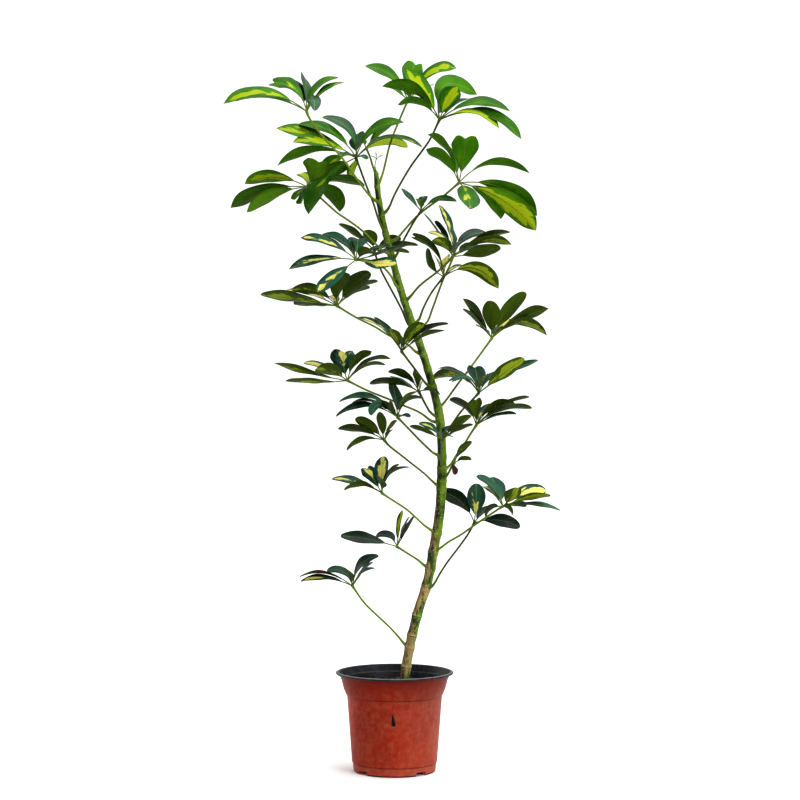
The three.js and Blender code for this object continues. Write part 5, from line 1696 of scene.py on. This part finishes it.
@dataclass
class CompoundLeaf:
    """A leaf: a stalk from the stem to the hub, and leaflets spread round the hub, in millimetres.

    Tones are from 0, dark, to 1, light, and rib shares of the way from the hub to the tip.
    """

    plan: LeafPlan
    stem: Stem
    finishes: list[Material]
    full_reach: float = 40
    stalk_radius: float = 1.35
    stalk_sides: int = 10
    stalk_step: float = 6
    base_radius: float = 3.1
    base_length: float = 9
    neck_growth: float = 0.8
    neck_length: float = 4
    cap: float = 0.8
    end_radius: float = 0.005
    fresh_tone: float = 0.95
    fresh_length: float = 11
    hub_radius: float = 2.2
    hub_to_reach: float = 9
    rib_radius: float = 0.85
    rib_taper: float = 0.62
    rib_sink: float = 0.42
    rib_end: float = 0.8
    rib_sides: int = 6
    rib_rings: int = 9
    under_tone: float = 0.75
    under_fade: float = 0.62
    draw: random.Random = field(init=False)

    def __post_init__(self) -> None:
        """Starts the leaf's own random draws and finds how thin a small leaf's stalks are."""
        self.draw = random.Random(self.plan.name)
        self.thin = min(1.0, self.plan.reach / self.full_reach)

    def stalk_line(self) -> Spline:
        """Returns the stalk's route, whose depth grows along it where the plan gives none."""
        start = self.stem.at(self.plan.node)
        hub_depth = self.plan.hub[2]
        seen = [(start.x, start.z, start.y), *self.plan.stalk, self.plan.hub]
        lengths = [0.0]
        for before, after in zip(seen, seen[1:]):
            lengths.append(lengths[-1] + math.hypot(after[0] - before[0], after[1] - before[1]))
        points = [start]
        for spot, length in zip(seen[1:], lengths[1:]):
            depth = spot[2] if len(spot) > 2 else hub_depth * length / lengths[-1]
            points.append(from_front_view(spot[0], spot[1], depth))
        return Spline(points)

    def dress_skin(self, verts: list[BMVert], layers: dict[str, Any], tones: Iterable[float]) -> None:
        """Gives vertices of a stalk their tones, and their faces the stalk skin."""
        for vert, tone in zip(verts, tones):
            vert[layers["kind"]] = (0.5, tone, 0)
        for face in faces_of(verts):
            face.material_index = LeafSkin.STALK.value

    def tube(self, bm: BMesh, sides: int, centres: list[Vector], radii: list[float],
             layers: dict[str, Any], tones: list[float]) -> None:
        """Adds a round closed tube.

        Args:
            bm: The leaf's mesh.
            sides: Its sides.
            centres: Its centreline, in millimetres.
            radii: Its radius at each centre, in millimetres.
            layers: The mesh's attribute layers, by name.
            tones: Its lightness at each centre, from 0 to 1.
        """
        last = len(centres) - 1
        ways = [(centres[min(i + 1, last)] - centres[max(i - 1, 0)]).normalized()
                for i in range(last + 1)]
        starts: list[Vector] = []
        side = Vector((0, 1, 0.01))
        for along in ways:
            side = (side - along * side.dot(along)).normalized()
            starts.append(side)

        def place(round_share: float, along_share: float) -> Vector:
            """Returns the place on the tube's skin, closed at both ends."""
            i = round(along_share * last)
            angle = TURN * round_share
            out = starts[i] * math.cos(angle) + ways[i].cross(starts[i]) * math.sin(angle)
            return centres[i] + out * (self.end_radius if i in (0, last) else radii[i])

        verts = grow_sheet(bm, sides, last, place)
        self.dress_skin(verts, layers, (tones[index // (sides + 1)] for index in range(len(verts))))
        bmesh.ops.remove_doubles(bm, verts=verts, dist=2e-5)

    def grow_stalk(self, bm: BMesh, layers: dict[str, Any]) -> None:
        """Adds the stalk, flared where it clasps the stem and a little thicker under the hub."""
        line = self.stalk_line()
        count = max(6, round(line.length / self.stalk_step))
        shares = [*(i / count for i in range(count)), 1 - self.cap / line.length, 1]
        centres = [line.at(share) for share in shares]
        flare = self.base_radius - self.stalk_radius
        radii = []
        for share in shares:
            foot = math.exp(-((share * line.length / self.base_length) ** 1.3))
            neck = math.exp(-((1 - share) * line.length) / self.neck_length)
            radii.append((self.stalk_radius + flare * foot + self.neck_growth * neck) * self.thin)
        tone = self.plan.tone.value
        fresh = self.fresh_tone - tone
        tones = [tone + fresh * math.exp(-share * line.length / self.fresh_length) for share in shares]
        self.tube(bm, self.stalk_sides, centres, radii, layers, tones)

    def grow_hub(self, bm: BMesh, layers: dict[str, Any]) -> None:
        """Adds the small knob that the leaflets spread from."""
        place = from_front_view(*self.plan.hub) * MM
        radius = min(self.hub_radius, self.plan.reach / self.hub_to_reach)
        made = bmesh.ops.create_icosphere(bm, subdivisions=2, radius=radius * MM,
                                          matrix=Matrix.Translation(place))["verts"]
        self.dress_skin(made, layers, [self.plan.tone.value] * len(made))

    def grow_rib(self, bm: BMesh, layers: dict[str, Any], blade: Blade) -> None:
        """Adds a leaflet's own stalk, which runs on as the midrib under the blade."""
        rest = [self.rib_end * (i + 1) / self.rib_rings for i in range(self.rib_rings)]
        shares = [0, self.cap / blade.length, *rest]
        centres, radii, tones = [], [], []
        tone = clamp(self.plan.tone.value * 0.5 + 0.25)
        under = self.under_tone - self.under_fade * clamp(blade.age)
        for share in shares:
            tones.append(tone + (under - tone) * ease(0.16, 0.26, share))
            _, upper = blade.frame_at(share)
            sunk = ease(0.16, 0.3, share) * self.rib_sink
            centres.append(blade.midrib(share) - upper * sunk)
            radii.append((self.rib_radius - self.rib_taper * ease(0.1, 0.8, share)) * self.thin)
        self.tube(bm, self.rib_sides, centres, radii, layers, tones)

    def build(self) -> None:
        """Grows the whole leaf as one piece and dresses it."""
        bm = bmesh.new()
        layers = {
            "place": bm.verts.layers.float_vector.new("blade_place"),
            "kind": bm.verts.layers.float_vector.new("blade_kind"),
            "dry": bm.verts.layers.float.new("blade_dry"),
        }
        self.grow_stalk(bm, layers)
        self.grow_hub(bm, layers)
        for leaflet in self.plan.leaflets:
            blade = Blade(self.plan, leaflet, self.draw.random())
            blade.grow(bm, layers)
            self.grow_rib(bm, layers, blade)
        bmesh.ops.recalc_face_normals(bm, faces=bm.faces)
        is_upper = self.plan.name in UPPER_LEAVES
        settle_piece(bm, self.plan.name + "_dressed", self.finishes,
                     Slot.UPPER_LEAF if is_upper else Slot.LOWER_LEAF)


@dataclass(frozen=True)
class StudioPaper(Finish):
    """The studio's matt white paper, with faint slow unevenness."""

    name: str = "studio_paper_white"
    shade: str = "#FCFCFC"
    white: str = "#FFFFFF"
    roughness: float = 0.9
    gloss_level: float = 0.1

    def surface(self, tree: NodeTree) -> dict[str, Any]:
        """Builds the unevenness, 300 mm across, and returns the finish by socket."""
        place = add_node(tree, "TexCoord")["Object"]
        tone = add_node(tree, "TexNoise", {"Vector": place, "Scale": 3, "Detail": 3})[0]
        return {"Base Color": lay_over(tree, self.shade, (Layer(tone, self.white),)),
                "Roughness": self.roughness, "Specular IOR Level": self.gloss_level}


@dataclass(frozen=True)
class Softbox:
    """A square soft light: where it hangs, what it looks at and its side in metres, and its watts."""

    name: str
    place: tuple[float, float, float]
    aim: tuple[float, float, float]
    size: float
    power: float

    def hang(self) -> None:
        """Adds the light to the scene."""
        light = bpy.data.lights.new(self.name, "AREA")
        light.shape = "SQUARE"
        light.size = self.size
        light.energy = self.power
        box = add_object(self.name, light)
        box.location = self.place
        aim = Vector(self.aim) - Vector(self.place)
        box.rotation_euler = aim.to_track_quat("-Z", "Y").to_euler()


@dataclass
class Studio:
    """A white studio: pale floor, even white surround, a broad soft light above and one in front."""

    lens: float = 88.3
    sensor: float = 36
    floor_size: float = 30
    floor_drop: float = 0.0004
    surround: float = 0.5
    sky: float = 2.3
    sky_spread: float = 60
    sky_colour: str = "#FBFDFF"
    sky_tilt: tuple[float, float] = (-4, 12)
    softboxes: tuple[Softbox, ...] = (
        Softbox("light_front_right", (1.8, -2.1, 1.4), (0, 0, 0.4), 1.3, 38),
        Softbox("light_back_left", (-1.9, 1.6, 1.5), (0, 0, 0.5), 1.2, 12),
    )

    def build(self) -> None:
        """Makes the camera, the floor, the surround and the lights."""
        scene = bpy.context.scene
        camera = bpy.data.cameras.new("camera")
        camera.lens = self.lens
        camera.sensor_width = self.sensor
        view = add_object("camera", camera)
        view.location = (VIEW_X * MM, -VIEW_DISTANCE * MM, VIEW_HEIGHT * MM)
        view.rotation_euler = (math.radians(90), 0, 0)
        scene.camera = view
        scene.view_settings.view_transform = "Standard"
        scene.view_settings.look = "Medium High Contrast"
        self.floor()
        self.surround_light()
        self.sky_light()
        for softbox in self.softboxes:
            softbox.hang()

    def floor(self) -> None:
        """Lays the pale floor, whose edge stays far behind the plant."""
        bm = bmesh.new()
        bmesh.ops.create_grid(bm, x_segments=4, y_segments=4, size=self.floor_size / 2)
        floor = add_mesh(bm, "studio_floor")
        floor.data.materials.append(StudioPaper().dress())
        floor.location = (0, 0, -self.floor_drop)
        # Plain white to the eye, but no bounce on to the plant's undersides
        floor.visible_diffuse = False

    def surround_light(self) -> None:
        """Hangs a surround that is white to the eye and lights the plant more softly."""
        world = bpy.data.worlds.new("studio_surround")
        world.use_nodes = True
        tree = world.node_tree
        white = (1.0, 1.0, 1.0, 1.0)
        lit = tree.nodes["Background"]
        fill_sockets(tree, lit, {0: white, 1: self.surround})
        seen = add_node(tree, "Background", {0: white, 1: 1.0})
        path = add_node(tree, "LightPath")
        both = add_node(tree, "MixShader", {0: path["Is Camera Ray"], 1: lit.outputs[0], 2: seen[0]})
        tree.links.new(both[0], tree.nodes["World Output"].inputs["Surface"])
        bpy.context.scene.world = world

    def sky_light(self) -> None:
        """Adds the broad, faintly cool light that comes from straight above, even on the whole floor."""
        light = bpy.data.lights.new("light_above", "SUN")
        light.energy = self.sky
        light.angle = math.radians(self.sky_spread)
        light.color = srgb(self.sky_colour)[:3]
        sky = add_object("light_above", light)
        sky.location = (0, 0, 3)
        sky.rotation_euler = (*(math.radians(tilt) for tilt in self.sky_tilt), 0)


def main() -> None:
    """Builds the studio, the pot, the soil, the stem and every leaf."""
    logging.basicConfig(level=logging.INFO, format="%(message)s")
    Studio().build()
    NurseryPot().build()
    Soil().build()
    stem = Stem()
    stem.build(GreenBark().dress())
    finishes = [UPPER_FACE.dress(), LOWER_FACE.dress(), StalkSkin().dress()]
    for plan in (*LEAVES, TIP_TUFT):
        CompoundLeaf(plan, stem, finishes).build()


if __name__ == "__main__":
    main()
